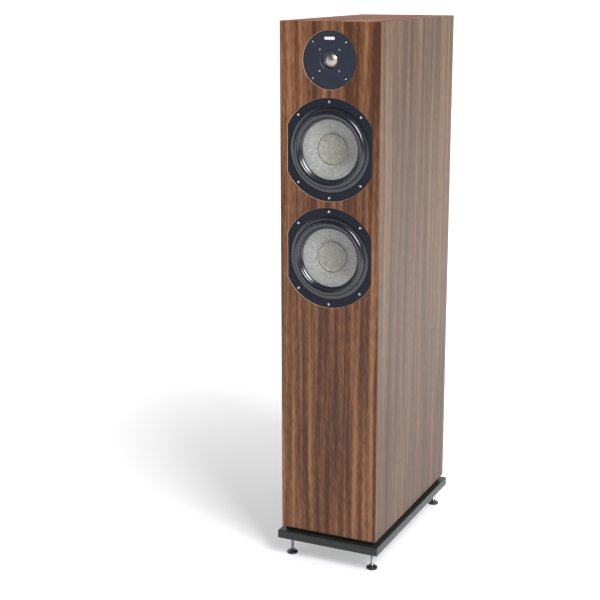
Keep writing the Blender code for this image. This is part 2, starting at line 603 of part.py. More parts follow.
def wiring(look, woofer_levels, tweeter_level):
    """One harness: a trunk from the board to the tweeter, a branch to each woofer, and the input
    lead, which forks to the two posts."""
    radius, thin = 2.2 * MM, 1.8 * MM
    x, y = -36 * MM, 15 * MM
    start = (-42 * MM, 24 * MM, BOARD_TOP + 12 * MM)
    trunk = lead("wiring_loom", [(-40 * MM, BOARD_Y - 42 * MM, BOARD_TOP + 3 * MM), start,
                                 (x, y, 180 * MM), (x, y, 330 * MM), (x, y, 500 * MM),
                                 (x, y, 680 * MM), (x, y - 10 * MM, 820 * MM),
                                 (-24 * MM, -70 * MM, tweeter_level - 20 * MM),
                                 (-10 * MM, FRONT + 31.8 * MM, tweeter_level - 8 * MM)], radius, look)
    branches = []
    for level in woofer_levels:
        branches.append([(x, y, level - 60 * MM), (x - 10 * MM, y - 25 * MM, level - 35 * MM),
                         (-59 * MM, -70 * MM, level - 8 * MM), (-57 * MM, FRONT + 46 * MM, level)])
    fork = (0, BACK - CUP_DEPTH - 26 * MM, TERMINAL_Z - 30 * MM)
    branches.append([start, (-56 * MM, 60 * MM, BOARD_TOP + 45 * MM),
                     (-30 * MM, 120 * MM, TERMINAL_Z - 50 * MM), fork])
    for side in (-1, 1):
        post_x = side * POST_SPACING / 2
        branches.append([fork, (post_x, fork[1] + 6 * MM, TERMINAL_Z - 16 * MM),
                         (post_x, BACK - CUP_DEPTH - 11 * MM, TERMINAL_Z - 5.2 * MM)])
    for number, route in enumerate(branches):
        shape(trunk, lead(f"loom_branch_{number}", route, thin, look), "UNION")


def wadding(look):
    """Fleece pad held against the right wall between the braces."""
    low = (INNER_X - 22 * MM, -85 * MM, 352 * MM)
    high = (INNER_X - 1 * MM, 155 * MM, 660 * MM)
    round_edges(place("damping_wadding", box(low, high), look), 6 * MM)


# ================================================================ assembly
def main():
    clear_scene()
    looks = {
        "cast_black": finish("cast_black", (0.022, 0.024, 0.028), 0.45),
        "satin_black": finish("satin_black", (0.03, 0.033, 0.038), 0.5),
        "gloss_black": finish("gloss_black", (0.01, 0.01, 0.011), 0.15),
        "black_ash": finish("black_ash", (0.02, 0.021, 0.022), 0.4),
        "painted_black": finish("painted_black", (0.008, 0.008, 0.008), 0.8),
        "rubber": finish("rubber", (0.02, 0.02, 0.024), 0.5),
        "foam": finish("foam", (0.03, 0.03, 0.03), 0.95),
        "woven": finish("woven", (0.46, 0.45, 0.38), 0.45),
        "spider_cloth": finish("spider_cloth", (0.62, 0.42, 0.16), 0.85),
        "copper": finish("copper", (0.72, 0.34, 0.16), 0.35, 1.0),
        "steel": finish("steel", (0.55, 0.56, 0.58), 0.35, 1.0),
        "ferrite": finish("ferrite", (0.05, 0.05, 0.055), 0.6),
        "dome_metal": finish("dome_metal", (0.75, 0.73, 0.7), 0.22, 1.0),
        "gold": finish("gold", (0.83, 0.62, 0.27), 0.25, 1.0),
        "walnut": finish("walnut", (0.25, 0.14, 0.085), 0.45),
        "raw_board": finish("raw_board", (0.45, 0.32, 0.2), 0.85),
        "moulded": finish("moulded", (0.015, 0.015, 0.016), 0.5),
        "knob_red": finish("knob_red", (0.45, 0.02, 0.02), 0.3),
        "knob_black": finish("knob_black", (0.02, 0.02, 0.02), 0.3),
        "board_green": finish("board_green", (0.03, 0.16, 0.07), 0.5),
        "film_yellow": finish("film_yellow", (0.75, 0.5, 0.08), 0.35),
        "cement": finish("cement", (0.78, 0.77, 0.72), 0.8),
        "fleece": finish("fleece", (0.75, 0.74, 0.7), 0.95),
        "lead_black": finish("lead_black", (0.03, 0.03, 0.03), 0.5),
    }
    baffle, back = cabinet_panels(looks["walnut"])
    upper_level = CABINET_TOP - UPPER_WOOFER_BELOW_TOP
    lower_level = CABINET_TOP - LOWER_WOOFER_BELOW_TOP
    tweeter_level = CABINET_TOP - TWEETER_BELOW_TOP
    brace("upper_brace", (upper_level + lower_level) / 2 - 7.5 * MM, looks["raw_board"])
    brace("lower_brace", 330 * MM, looks["raw_board"])
    board, spacer = plinth(looks["black_ash"], looks["painted_black"])
    for number, (side_x, side_y) in enumerate(((-1, -1), (1, -1), (-1, 1), (1, 1))):
        foot(number + 1, side_x * FOOT_X, side_y * FOOT_Y, board, spacer,
             looks["gloss_black"], looks["steel"])
    woofer("upper_woofer", upper_level, looks, baffle)
    woofer("lower_woofer", lower_level, looks, baffle)
    tweeter(tweeter_level, looks, baffle)
    port(back, looks["moulded"])
    cup = terminal_cup(back, looks["moulded"])
    binding_post("positive", POST_SPACING / 2, cup, looks, looks["knob_red"])
    binding_post("negative", -POST_SPACING / 2, cup, looks, looks["knob_black"])
    crossover(looks)
    wiring(looks["lead_black"], (lower_level, upper_level), tweeter_level)
    wadding(looks["fleece"])


main()
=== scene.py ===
# %% [markdown]
# # A floorstanding loudspeaker
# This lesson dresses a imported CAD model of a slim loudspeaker: a veneered cabinet on a black
# plinth, two woofers, a dome tweeter, a port and terminals behind. The CAD model says where
# everything is and what moves. Here each piece gets its rounded edges, threads, screws and finish.

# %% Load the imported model
import math

import bmesh
import bpy
import numpy as np
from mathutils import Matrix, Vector


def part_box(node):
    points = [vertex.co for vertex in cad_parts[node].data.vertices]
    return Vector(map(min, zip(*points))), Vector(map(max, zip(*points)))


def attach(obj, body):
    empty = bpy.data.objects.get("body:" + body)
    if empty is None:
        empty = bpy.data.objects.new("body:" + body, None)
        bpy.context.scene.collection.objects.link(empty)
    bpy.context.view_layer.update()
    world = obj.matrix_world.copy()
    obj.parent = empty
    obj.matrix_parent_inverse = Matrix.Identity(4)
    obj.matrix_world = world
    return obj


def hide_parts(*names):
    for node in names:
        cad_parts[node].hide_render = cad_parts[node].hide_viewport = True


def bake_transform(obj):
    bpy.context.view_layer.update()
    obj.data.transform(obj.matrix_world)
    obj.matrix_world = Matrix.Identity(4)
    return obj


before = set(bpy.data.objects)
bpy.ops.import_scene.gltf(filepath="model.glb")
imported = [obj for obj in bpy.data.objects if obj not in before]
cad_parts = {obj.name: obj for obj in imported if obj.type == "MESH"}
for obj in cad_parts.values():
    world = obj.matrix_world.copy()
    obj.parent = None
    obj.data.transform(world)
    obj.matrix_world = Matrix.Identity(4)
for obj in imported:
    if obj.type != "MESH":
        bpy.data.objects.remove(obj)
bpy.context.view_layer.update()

MM = 0.001


def mm(*numbers):
    """Numbers or points in millimetres, as an array in metres."""
    return np.array(numbers, float) * MM


def linked(name, data):
    """A new object in the scene that shows the data."""
    made = bpy.data.objects.new(name, data)
    bpy.context.scene.collection.objects.link(made)
    return made


# %% [markdown]
# ## Where things are
# Nothing is measured by eye. The box of a CAD node gives its place, so if the CAD model changes,
# the pieces follow. The front faces -Y, X runs to the right and Z goes up from the floor.

# %% Places read from the CAD model
def middle(node):
    """Centre of a node's box, which for a turned piece is its axis."""
    low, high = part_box(node)
    return (low + high) / 2


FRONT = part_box("front_baffle")[0].y
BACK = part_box("back_panel")[1].y
CABINET_LOW, CABINET_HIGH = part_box("bottom_panel")[0].z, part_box("top_panel")[1].z
HALF_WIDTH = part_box("right_side_panel")[1].x
HALF_DEPTH = BACK
HALF_HEIGHT = (CABINET_HIGH - CABINET_LOW) / 2
MID_HEIGHT = (CABINET_HIGH + CABINET_LOW) / 2
PANEL = 18 * MM
WOOFERS = {name: middle(f"{name}_magnet").z for name in ("upper_woofer", "lower_woofer")}
TWEETER_Z = middle("tweeter_magnet").z
PORT_Z = middle("port_tube").z
CUP_Z = middle("terminal_cup").z
print(f"front {FRONT:.4f}, back {BACK:.4f}, tweeter {TWEETER_Z:.4f}, woofers {WOOFERS}")

# %% [markdown]
# ## Camera
# The camera stands a little to the right of the front and looks down slightly, from about 2.3 m.
# A long lens keeps the tall cabinet's edges nearly parallel. The small shift only frames the picture.

# %% The camera
LOOKS_DOWN, LEANS, TURNED = 13.58, 0.15, 25.36
camera = linked("camera", bpy.data.cameras.new("camera"))
camera.location = (0.9208, -2.2596, 1.0795)
camera.rotation_euler = [math.radians(angle) for angle in (90 - LOOKS_DOWN, LEANS, TURNED)]
camera.data.sensor_width, camera.data.lens, camera.data.clip_end = 36, 78.42, 50
camera.data.shift_x, camera.data.shift_y = 0.0053, -0.0187
bpy.context.scene.camera = camera
print("camera at", tuple(round(v, 3) for v in camera.location))

# %% [markdown]
# ## Networks of nodes
# The room's light and every finish are networks of nodes. A node could be added and wired in
# four lines each time. These helpers add one, wire it and give back its output, so that a network
# reads like a formula.

# %% Helpers for node networks
def screen(red, green, blue):
    """A colour given as 0-255 screen values, as the linear values that a shader takes."""
    value = np.array([red, green, blue]) / 255
    linear = np.where(value <= 0.04045, value / 12.92, ((value + 0.055) / 1.055) ** 2.4)
    return (*linear.tolist(), 1.0)


def add(tree, kind, sockets=None, **settings):
    """Adds a node. Sockets take a number, a colour or another node's output."""
    made = tree.nodes.new("ShaderNode" + kind)
    for key, value in settings.items():
        setattr(made, key, value)
    for key, value in (sockets or {}).items():
        if isinstance(value, bpy.types.NodeSocket):
            tree.links.new(value, made.inputs[key])
        else:
            made.inputs[key].default_value = value
    return made


def maths(tree, operation, *values, clamp=False):
    return add(tree, "Math", dict(enumerate(values)), operation=operation, use_clamp=clamp).outputs[0]


def mixed(tree, share, first, second):
    """The first colour where the share is 0, the second where it is 1."""
    return add(tree, "Mix", {0: share, 6: first, 7: second}, data_type="RGBA").outputs[2]


def sloped(tree, value, slope, start):
    """The value times the slope, plus the start."""
    return maths(tree, "MULTIPLY_ADD", value, slope, start)


def spread(tree, value, low, high, to_low=0.0, to_high=1.0):
    """Stretches low..high to to_low..to_high, smoothly."""
    limits = {"From Min": low, "From Max": high, "To Min": to_low, "To Max": to_high}
    return add(tree, "MapRange", {"Value": value} | limits, interpolation_type="SMOOTHSTEP").outputs["Result"]


def scaled(tree, vector, x, y, z):
    return add(tree, "VectorMath", {0: vector, 1: (x, y, z)}, operation="MULTIPLY").outputs[0]


def noise(tree, vector, scale, detail=2.0, roughness=0.5):
    sockets = {"Vector": vector, "Scale": scale, "Detail": detail, "Roughness": roughness}
    return add(tree, "TexNoise", sockets).outputs["Fac"]


# %% [markdown]
# ## Light and floor
# Most light comes from one large lamp above on the right, and a weak one at the left keeps that
# edge of the front from going dull. The rest is a white room, whose wall and floor behind are
# bright, so the side and the top mirror them and take a pale sheen. The world is that room. It is
# bright towards the back and right and dim towards the front, and where the camera looks straight
# into it, it is plain white.

# %% The room, as a world that is brighter on one side
WHITE = (1.0, 1.0, 1.0, 1.0)
ROOM_DIM, ROOM_BRIGHT, ROOM_SEEN = 0.09, 0.8, 1.2
BRIGHT_SIDE = (0.42, 0.88, 0.22)
world = bpy.data.worlds.new("white_room")
bpy.context.scene.world = world
world.use_nodes = True
bpy.context.scene.view_settings.view_transform = "Standard"
room = world.node_tree
heading = add(room, "TexCoord").outputs["Generated"]
turned_to_it = add(room, "VectorMath", {0: heading, 1: BRIGHT_SIDE}, operation="DOT_PRODUCT").outputs["Value"]
room_light = room.nodes["Background"]
room_light.inputs["Color"].default_value = WHITE
room.links.new(spread(room, turned_to_it, -0.3, 0.75, ROOM_DIM, ROOM_BRIGHT), room_light.inputs["Strength"])
backdrop = add(room, "Background", {"Color": WHITE, "Strength": ROOM_SEEN})
seen = add(room, "LightPath").outputs["Is Camera Ray"]
choice = add(room, "MixShader", {0: seen, 1: room_light.outputs[0], 2: backdrop.outputs[0]})
room.links.new(choice.outputs[0], room.nodes["World Output"].inputs["Surface"])
print("room:", len(room.nodes), "nodes")


# %% Lamps and floor
def soft_lamp(name, place, aim, width, height, power):
    """A rectangular lamp at place, facing aim."""
    lamp = linked(name, bpy.data.lights.new(name, "AREA"))
    lamp.data.shape, lamp.data.size, lamp.data.size_y, lamp.data.energy = "RECTANGLE", width, height, power
    lamp.location = place
    lamp.rotation_mode = "QUATERNION"
    lamp.rotation_quaternion = (Vector(aim) - Vector(place)).to_track_quat("-Z", "Y")
    print(f"{name}: {power} W, {width} x {height} m")


soft_lamp("key_panel", (2.0, -1.5, 2.6), (0, -0.1, 0.65), 1.2, 1.8, 136)
soft_lamp("left_panel", (-1.9, -1.9, 1.15), (0, -0.19, 0.75), 0.7, 1.8, 8)

FLOOR_HALF = 8.0
floor_mesh = bpy.data.meshes.new("studio_floor")
floor_mesh.from_pydata([(-FLOOR_HALF, -FLOOR_HALF, 0), (FLOOR_HALF, -FLOOR_HALF, 0),
                        (FLOOR_HALF, FLOOR_HALF, 0), (-FLOOR_HALF, FLOOR_HALF, 0)], [], [(0, 1, 2, 3)])
studio_floor = linked("studio_floor", floor_mesh)

# %% [markdown]
# ## Building surfaces with arrays
# Every new piece is a grid of points worked out at once with numpy, then handed to a mesh. Three
# ideas cover the whole speaker. A profile can be turned round an axis, as on a lathe. A profile can
# be carried round a rectangle. And a flat sheet can be pierced: it is cut into cells, and a cell
# with a hole is a band of faces that runs from the cell's border to the hole's rim.

# %% Profiles
def stacked(*parts):
    """Numbers or arrays of one shape side by side, as the last axis of one array."""
    return np.stack(np.broadcast_arrays(*parts), axis=-1)


def eased(profile, radius, steps=4, closed=True, hold=0.3):
    """Rounds the corners of a profile. Corner P becomes the curve (1-t)^2 A + 2t(1-t) P + t^2 B,
    where A and B lie on its two sides, a radius away or at most 0.35 of the side. A held point
    just beyond A and B keeps the flat parts flat when the surface is shaded smooth."""
    corner = np.asarray(profile, float)
    radius = np.broadcast_to(np.asarray(radius, float), len(corner))
    back, ahead = np.roll(corner, 1, axis=0) - corner, np.roll(corner, -1, axis=0) - corner

    def cut(side):
        length = np.maximum(np.linalg.norm(side, axis=1), 1e-12)
        return side / length[:, None] * np.minimum(radius, 0.35 * length)[:, None]

    a, b, t = cut(back)[:, None], cut(ahead)[:, None], np.linspace(0, 1, steps + 1)[None, :, None]
    p = corner[:, None]
    curve = (1 - t) ** 2 * (p + a) + 2 * t * (1 - t) * p + t ** 2 * (p + b)
    rows = np.concatenate([p + a * (1 + hold), curve, p + b * (1 + hold)], axis=1)
    if closed:
        return np.concatenate([rows.reshape(-1, corner.shape[1]), rows[0, :1]])
    return np.concatenate([corner[:1], rows[1:-1].reshape(-1, corner.shape[1]), corner[-1:]])


def all_round(count):
    return np.linspace(0, 2 * np.pi, count, endpoint=False)


def around(reach, angles, depth):
    """Points round an axis: right = reach cos a, up = reach sin a."""
    return stacked(reach * np.cos(angles), reach * np.sin(angles), depth)


def turn(profile, angles):
    """Turns (radius, depth) rows round an axis, as on a lathe."""
    radius, depth = np.asarray(profile, float).T
    return around(radius[:, None], angles, depth[:, None])


def with_depth(plane, depth):
    return stacked(plane[..., 0], plane[..., 1], depth)


def rectangle(half_a, half_b, corner, steps=6):
    """A rectangle with round corners: each corner's centre plus corner (cos, sin), a quarter each."""
    quarter = np.linspace(0, np.pi / 2, steps + 1)
    angle = (quarter + np.pi / 2 * np.arange(4)[:, None]).ravel()
    side_a = np.repeat([1, -1, -1, 1], steps + 1)
    side_b = np.repeat([1, 1, -1, -1], steps + 1)
    return stacked(side_a * (half_a - corner) + corner * np.cos(angle),
                   side_b * (half_b - corner) + corner * np.sin(angle))


def carried_round(profile, half_a, half_b, corner, steps=6):
    """Carries rows of (inset, depth) round a rectangle, whose sides and corners shrink by the inset."""
    rows = []
    for inset, depth in np.asarray(profile, float):
        a, b = max(half_a - inset, 0), max(half_b - inset, 0)
        rows.append(with_depth(rectangle(a, b, max(min(corner - inset, a, b), 0), steps), depth))
    return np.stack(rows)


# %% Sheets with holes
def along(lines, counts):
    """Positions between the lines, with counts[i] steps in the i-th gap."""
    return [np.linspace(a, b, n + 1) for a, b, n in zip(lines, lines[1:], counts)]


def border(u, v):
    """The points round a grid of u and v positions, once round, as (u, v) arrays."""
    return (np.concatenate([u[:-1], np.full(len(v) - 1, u[-1]), u[:0:-1], np.full(len(v) - 1, u[0])]),
            np.concatenate([np.full(len(u) - 1, v[0]), v[:-1], np.full(len(u) - 1, v[-1]), v[:0:-1]]))


def pierced(u_cells, v_cells, to_plane, depth, holes, behind=None):
    """A sheet at one depth, cut into cells. A plain cell is a grid. A cell in holes = {(i, j):
    (centre, rings)} is a band of rows from its border through each ring of (reach, depth): ring
    point = centre + reach(angle) (cos, sin), at the border point's angle. With behind = (to_plane,
    depth) there is a back face too, and a hole's band goes on to the border of the back cell."""
    made = []
    for i, u in enumerate(u_cells):
        for j, v in enumerate(v_cells):
            if (i, j) not in holes:
                made.append((with_depth(to_plane(u[None, :], v[:, None]), depth), False, 0))
                if behind:
                    made.append((with_depth(behind[0](u[None, :], v[:, None]), behind[1]), False, 1))
                continue
            centre, rings = holes[i, j]
            edge = to_plane(*border(u, v))
            angle = np.arctan2(edge[:, 1] - centre[1], edge[:, 0] - centre[0])
            rows = [with_depth(edge, depth)]
            for reach, ring_depth in rings:
                size = reach(angle) if callable(reach) else reach
                rows.append(around(size, angle, ring_depth) + [*centre, 0])
            if behind:
                rows.append(with_depth(behind[0](*border(u, v)), behind[1]))
            made += [(np.stack(rows[:2]), True, 0), (np.stack(rows[1:]), True, 1)]
    return made


# %% Placing a grid on the speaker
def on_front(points, z):
    """(right, up, depth behind the front face) to the shared frame."""
    return stacked(points[..., 0], FRONT + points[..., 2], z + points[..., 1])


def on_back(points, z, x=0.0, proud_of=BACK):
    """(right, up, height out of the back face) to the shared frame."""
    return stacked(x + points[..., 0], proud_of + points[..., 2], z + points[..., 1])


def on_floor(points, x=0.0, y=0.0, z=0.0):
    """(x, y, height) to the shared frame."""
    return points + [x, y, z]


def laid(patches, lay, one_look=True):
    """Patches of (points, joined, look number) with each grid laid in the shared frame."""
    return [(lay(points), joined, 0 if one_look else shade) for points, joined, shade in patches]


# %% From grids to a mesh
FLAT_ANGLE = math.radians(38)


def mesh_of(name, patches, looks):
    """Joins patches into one mesh object. A patch is (points, joined, look number): each row of
    points is joined to the next, and joined also ties the last column to the first. Points that
    coincide are welded, which closes seams and poles, and the faces are turned outwards."""
    corners, quads, shades, start = [], [], [], 0
    for points, joined, shade in patches:
        rows, columns = points.shape[:2]
        index = start + np.arange(rows * columns).reshape(rows, columns)
        if joined:
            index = np.concatenate([index, index[:, :1]], axis=1)
        quad = np.stack([index[:-1, :-1], index[:-1, 1:], index[1:, 1:], index[1:, :-1]], axis=-1)
        corners.append(points.reshape(-1, 3))
        quads.append(quad.reshape(-1, 4))
        shades.append(np.full(quad.size // 4, shade))
        start += rows * columns
    mesh = bpy.data.meshes.new(name)
    mesh.from_pydata(np.concatenate(corners).tolist(), [], np.concatenate(quads).tolist())
    mesh.polygons.foreach_set("material_index", np.concatenate(shades).astype(np.int32))
    work = bmesh.new()
    work.from_mesh(mesh)
    bmesh.ops.remove_doubles(work, verts=work.verts, dist=2e-6)
    bmesh.ops.recalc_face_normals(work, faces=work.faces)
    work.to_mesh(mesh)
    work.free()
    for look in looks:
        mesh.materials.append(look)
    mesh.shade_smooth()
    mesh.set_sharp_from_angle(angle=FLAT_ANGLE)
    return linked(name, mesh)


def round_mesh(name, grid, look):
    """One grid whose last column joins its first."""
    return mesh_of(name, [(grid, True, 0)], [look])


def points_of(piece):
    co = np.empty(len(piece.data.vertices) * 3, np.float32)
    piece.data.vertices.foreach_get("co", co)
    return co.reshape(-1, 3)


def belongs(piece, body, slot, *nodes):
    """The piece rides on a body and stands for CAD nodes, which are hidden; the slot is not used."""
    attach(piece, body)
    if nodes:
        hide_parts(*nodes)
    print(f"{piece.name}: {len(piece.data.vertices)} points, rides on {body}")
    return piece


def flexes(piece, moving_body, node):
    """A ring whose place is baked into its points, standing for the CAD node, which is hidden."""
    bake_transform(piece)
    co = points_of(piece)
    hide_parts(node)
    print(f"{piece.name}: {len(co)} points, flexes with {moving_body}")
    return piece


# %% [markdown]
# ## Finishes
# A finish is a small network of nodes around one Principled shader. The effects that several
# finishes share are node groups: the figure of the veneer, a plain weave, the fine skin of
# moulded or painted surfaces, the rings a lathe leaves, and settled dust. A group gives out only
# colours, masks and heights, and the shader stays in the material.

# %% An empty node group
def effect_group(name, inputs, outputs):
    """An empty node group with named inputs (name, type, default) and outputs (name, type)."""
    group = bpy.data.node_groups.new(name, "ShaderNodeTree")
    for label, kind, value in inputs:
        socket = group.interface.new_socket(name=label, in_out="INPUT", socket_type="NodeSocket" + kind)
        if value is not None:
            socket.default_value = value
    for label, kind in outputs:
        group.interface.new_socket(name=label, in_out="OUTPUT", socket_type="NodeSocket" + kind)
    start, end = group.nodes.new("NodeGroupInput"), group.nodes.new("NodeGroupOutput")
    return group, start.outputs, end.inputs


# %% [markdown]
# ## Walnut figure
# Straight-cut walnut veneer shows long stripes a centimetre or so apart, thin dark growth lines
# and open pores like fine scratches along the grain. All three are noise that is stretched
# along the grain, so the group asks for a vector whose X runs across the grain and Y along it.

# %% Node group: walnut figure
tree, given, wanted = effect_group(
    "walnut_figure",
    [("Vector", "Vector", None), ("Light", "Color", screen(150, 104, 71)),
     ("Medium", "Color", screen(114, 75, 49)), ("Dark", "Color", screen(74, 43, 27))],
    [("Color", "Color"), ("Roughness", "Float"), ("Height", "Float")])
WALNUT_FIGURE = tree
wander = noise(tree, scaled(tree, given["Vector"], 1, 0.3, 1), 5, 1)
sway = add(tree, "CombineXYZ", {"X": sloped(tree, wander, 0.03, -0.015)}).outputs[0]
grain = add(tree, "VectorMath", {0: given["Vector"], 1: sway}, operation="ADD").outputs[0]


def along_grain(stretch, scale, detail, roughness=0.5):
    """Noise across the swaying grain, drawn out along it: the smaller the stretch, the longer."""
    return noise(tree, scaled(tree, grain, 1, stretch, 1), scale, detail, roughness)


broad, stripe = along_grain(0.04, 30, 1), along_grain(0.017, 100, 1.5)
streak, fleck = along_grain(0.014, 480, 3, 0.6), along_grain(0.22, 260, 3, 0.65)
tone = sloped(tree, streak, 0.2, sloped(tree, stripe, 0.55, 0.05))
tone = sloped(tree, maths(tree, "SUBTRACT", fleck, 0.5), 0.27, tone)
tone = sloped(tree, broad, 0.28, tone)
ridge = maths(tree, "ABSOLUTE", sloped(tree, along_grain(0.02, 150, 1), 2, -1))
dark_line = maths(tree, "POWER", maths(tree, "SUBTRACT", 1, ridge), 22, clamp=True)
pore = spread(tree, along_grain(0.03, 1500, 1), 0.6, 0.72)
colour = mixed(tree, spread(tree, tone, 0.45, 0.585), given["Dark"], given["Medium"])
colour = mixed(tree, spread(tree, tone, 0.56, 0.69), colour, given["Light"])
colour = mixed(tree, maths(tree, "MULTIPLY", dark_line, 0.45), colour, given["Dark"])
colour = mixed(tree, maths(tree, "MULTIPLY", pore, 0.55), colour, given["Dark"])
tree.links.new(colour, wanted["Color"])
tree.links.new(sloped(tree, pore, 0.2, 0.36), wanted["Roughness"])
tree.links.new(sloped(tree, streak, 0.4, maths(tree, "MULTIPLY", pore, -1)), wanted["Height"])
print("walnut figure:", len(tree.nodes), "nodes")

# %% [markdown]
# ## Plain weave
# In a plain weave each yarn goes over one yarn and under the next. The sheet is split into square
# cells of one yarn. On even cells the upright yarn is on top, on odd cells the level one, and each
# yarn is round across and slightly arched along its length.

# %% Node group: plain weave
tree, given, wanted = effect_group(
    "plain_weave", [("Vector", "Vector", None), ("Pitch", "Float", 0.002)],
    [("Height", "Float"), ("Gap", "Float"), ("Yarn", "Float")])
PLAIN_WEAVE = tree
density = maths(tree, "DIVIDE", 1, given["Pitch"])
yarns = add(tree, "VectorMath", {0: given["Vector"], "Scale": density}, operation="SCALE").outputs[0]
across, up = add(tree, "SeparateXYZ", {0: yarns}).outputs[:2]
round_x, round_y = (maths(tree, "SINE", maths(tree, "MULTIPLY", maths(tree, "FRACT", value), math.pi))
                    for value in (across, up))
upright = maths(tree, "MULTIPLY", round_x, sloped(tree, round_y, 0.4, 0.6))
level = maths(tree, "MULTIPLY", round_y, sloped(tree, round_x, 0.4, 0.6))
cell = maths(tree, "ADD", maths(tree, "FLOOR", across), maths(tree, "FLOOR", up))
odd = maths(tree, "FLOORED_MODULO", cell, 2)
swap = maths(tree, "MULTIPLY", maths(tree, "SUBTRACT", level, upright), odd)
weave_height = maths(tree, "ADD", upright, swap)
tree.links.new(weave_height, wanted["Height"])
tree.links.new(maths(tree, "SUBTRACT", 1, spread(tree, weave_height, 0.1, 0.6)), wanted["Gap"])
tree.links.new(sloped(tree, odd, 0.5, noise(tree, yarns, 0.35, 2)), wanted["Yarn"])
print("plain weave:", len(tree.nodes), "nodes")

# %% [markdown]
# ## Fine skin, lathe rings and dust
# Moulded plastic and sprayed paint have a skin of tiny bumps. A turned part keeps faint rings
# round its axis. Dust settles on what faces up. Small effects, but without them a dark surface
# reads as one flat colour.

# %% Node groups: fine skin, lathe rings, dust
tree, given, wanted = effect_group(
    "fine_skin", [("Vector", "Vector", None), ("Scale", "Float", 2500.0)],
    [("Height", "Float"), ("Patch", "Float")])
FINE_SKIN = tree
tree.links.new(noise(tree, given["Vector"], given["Scale"], 2, 0.6), wanted["Height"])
tree.links.new(noise(tree, given["Vector"], 24, 3, 0.6), wanted["Patch"])

tree, given, wanted = effect_group(
    "lathe_rings", [("Vector", "Vector", None), ("Spacing", "Float", 0.0004)],
    [("Height", "Float"), ("Shine", "Float")])
LATHE_RINGS = tree
flat = add(tree, "SeparateXYZ", {0: given["Vector"]}).outputs
square_x, square_y = maths(tree, "POWER", flat["X"], 2), maths(tree, "POWER", flat["Y"], 2)
reach = maths(tree, "SQRT", maths(tree, "ADD", square_x, square_y))
rings = add(tree, "CombineXYZ", {"X": maths(tree, "DIVIDE", reach, given["Spacing"]),
                                 "Z": maths(tree, "DIVIDE", flat["Z"], given["Spacing"])}).outputs[0]
tree.links.new(noise(tree, rings, 1, 1), wanted["Height"])
tree.links.new(noise(tree, scaled(tree, rings, 0.2, 0.2, 0.2), 1, 2), wanted["Shine"])

tree, given, wanted = effect_group(
    "settled_dust",
    [("Vector", "Vector", None), ("Amount", "Float", 0.2), ("Color", "Color", screen(60, 60, 60))],
    [("Color", "Color"), ("Dust", "Float")])
SETTLED_DUST = tree
facing = add(tree, "SeparateXYZ", {0: add(tree, "NewGeometry").outputs["Normal"]}).outputs["Z"]
specks = spread(tree, noise(tree, given["Vector"], 900, 3, 0.7), 0.45, 0.75)
cover = maths(tree, "MULTIPLY", specks, spread(tree, facing, 0.1, 1.0))
cover = maths(tree, "MULTIPLY", cover, given["Amount"])
tree.links.new(mixed(tree, cover, given["Color"], screen(150, 145, 138)), wanted["Color"])
tree.links.new(cover, wanted["Dust"])
print("groups:", [group.name for group in bpy.data.node_groups])


# %% Starting and ending a finish
def begin(name, **sockets):
    """A new material with its Principled shader's uniform values set on the shader's own sockets."""
    look = bpy.data.materials.new(name)
    look.use_nodes = True
    tree = look.node_tree
    shader = tree.nodes["Principled BSDF"]
    for label, value in sockets.items():
        shader.inputs[label.replace("_", " ")].default_value = value
    place = add(tree, "TexCoord").outputs["Object"]
    return look, tree, shader, place


def use(tree, group, **sockets):
    """Places a node group, with the values of its named inputs."""
    made = add(tree, "Group", node_tree=group)
    for label, value in sockets.items():
        if isinstance(value, bpy.types.NodeSocket):
            tree.links.new(value, made.inputs[label])
        else:
            made.inputs[label].default_value = value
    return made.outputs


def end(tree, shader, colour, roughness, height, distance, strength=0.5):
    """Wires colour, roughness and relief to the shader."""
    relief = add(tree, "Bump", {"Height": height, "Distance": distance, "Strength": strength})
    tree.links.new(colour, shader.inputs["Base Color"])
    tree.links.new(roughness, shader.inputs["Roughness"])
    tree.links.new(relief.outputs["Normal"], shader.inputs["Normal"])


def turned_to(tree, place, order, offset=(0, 0, 0)):
    """Rearranges x, y, z, for a pattern that wants its own first and second direction."""
    moved = add(tree, "Mapping", {"Vector": place, "Location": offset}).outputs[0]
    axes = add(tree, "SeparateXYZ", {0: moved}).outputs
    return add(tree, "CombineXYZ", {i: axes[axis] for i, axis in enumerate(order)}).outputs[0]


# %% [markdown]
# ## Veneered faces
# Each face is cut from its own sheet, so the figure starts at another place on each. A satin
# lacquer lies over the wood: a thin coat with its own, sharper gloss. The right side's tones are
# a little paler and greyer, a painted reflection and shade for how the light falls on that side.
# The top's tones are paler and pinker, a painted sheen for the bright room it mirrors, and the top
# is waxed dull, so that it doesn't glare under the lamp.

# %% Walnut for the upright faces and the top
def walnut(name, order, offset, gloss=0.22, coat=0.14, dull=0.0, **tones):
    """Veneer with its grain along the order's second axis. dull is added to the roughness."""
    look, tree, shader, place = begin(name, Specular_IOR_Level=gloss, Coat_Weight=coat, Coat_Roughness=0.3)
    figure = use(tree, WALNUT_FIGURE, Vector=turned_to(tree, place, order, offset), **tones)
    rough = maths(tree, "ADD", figure["Roughness"], dull)
    end(tree, shader, figure["Color"], rough, figure["Height"], 0.00008)
    return look


WALNUT_FRONT = walnut("walnut_front", "XZY", (0.31, 0, 0))
WALNUT_BACK = walnut("walnut_back", "XZY", (1.9, 0, 0.4))
WALNUT_LEFT = walnut("walnut_left", "YZX", (0, 3.1, 0.2))
# The right side's paler, greyer tones are painted light: a painted reflection and shade for how the light
# falls on that side.
WALNUT_RIGHT_PAINTED_LIGHT = walnut("walnut_right_painted_light", "YZX", (0, 0.52, 0.7), Light=screen(118, 90, 65),
                      Medium=screen(95, 69, 48), Dark=screen(70, 48, 34))
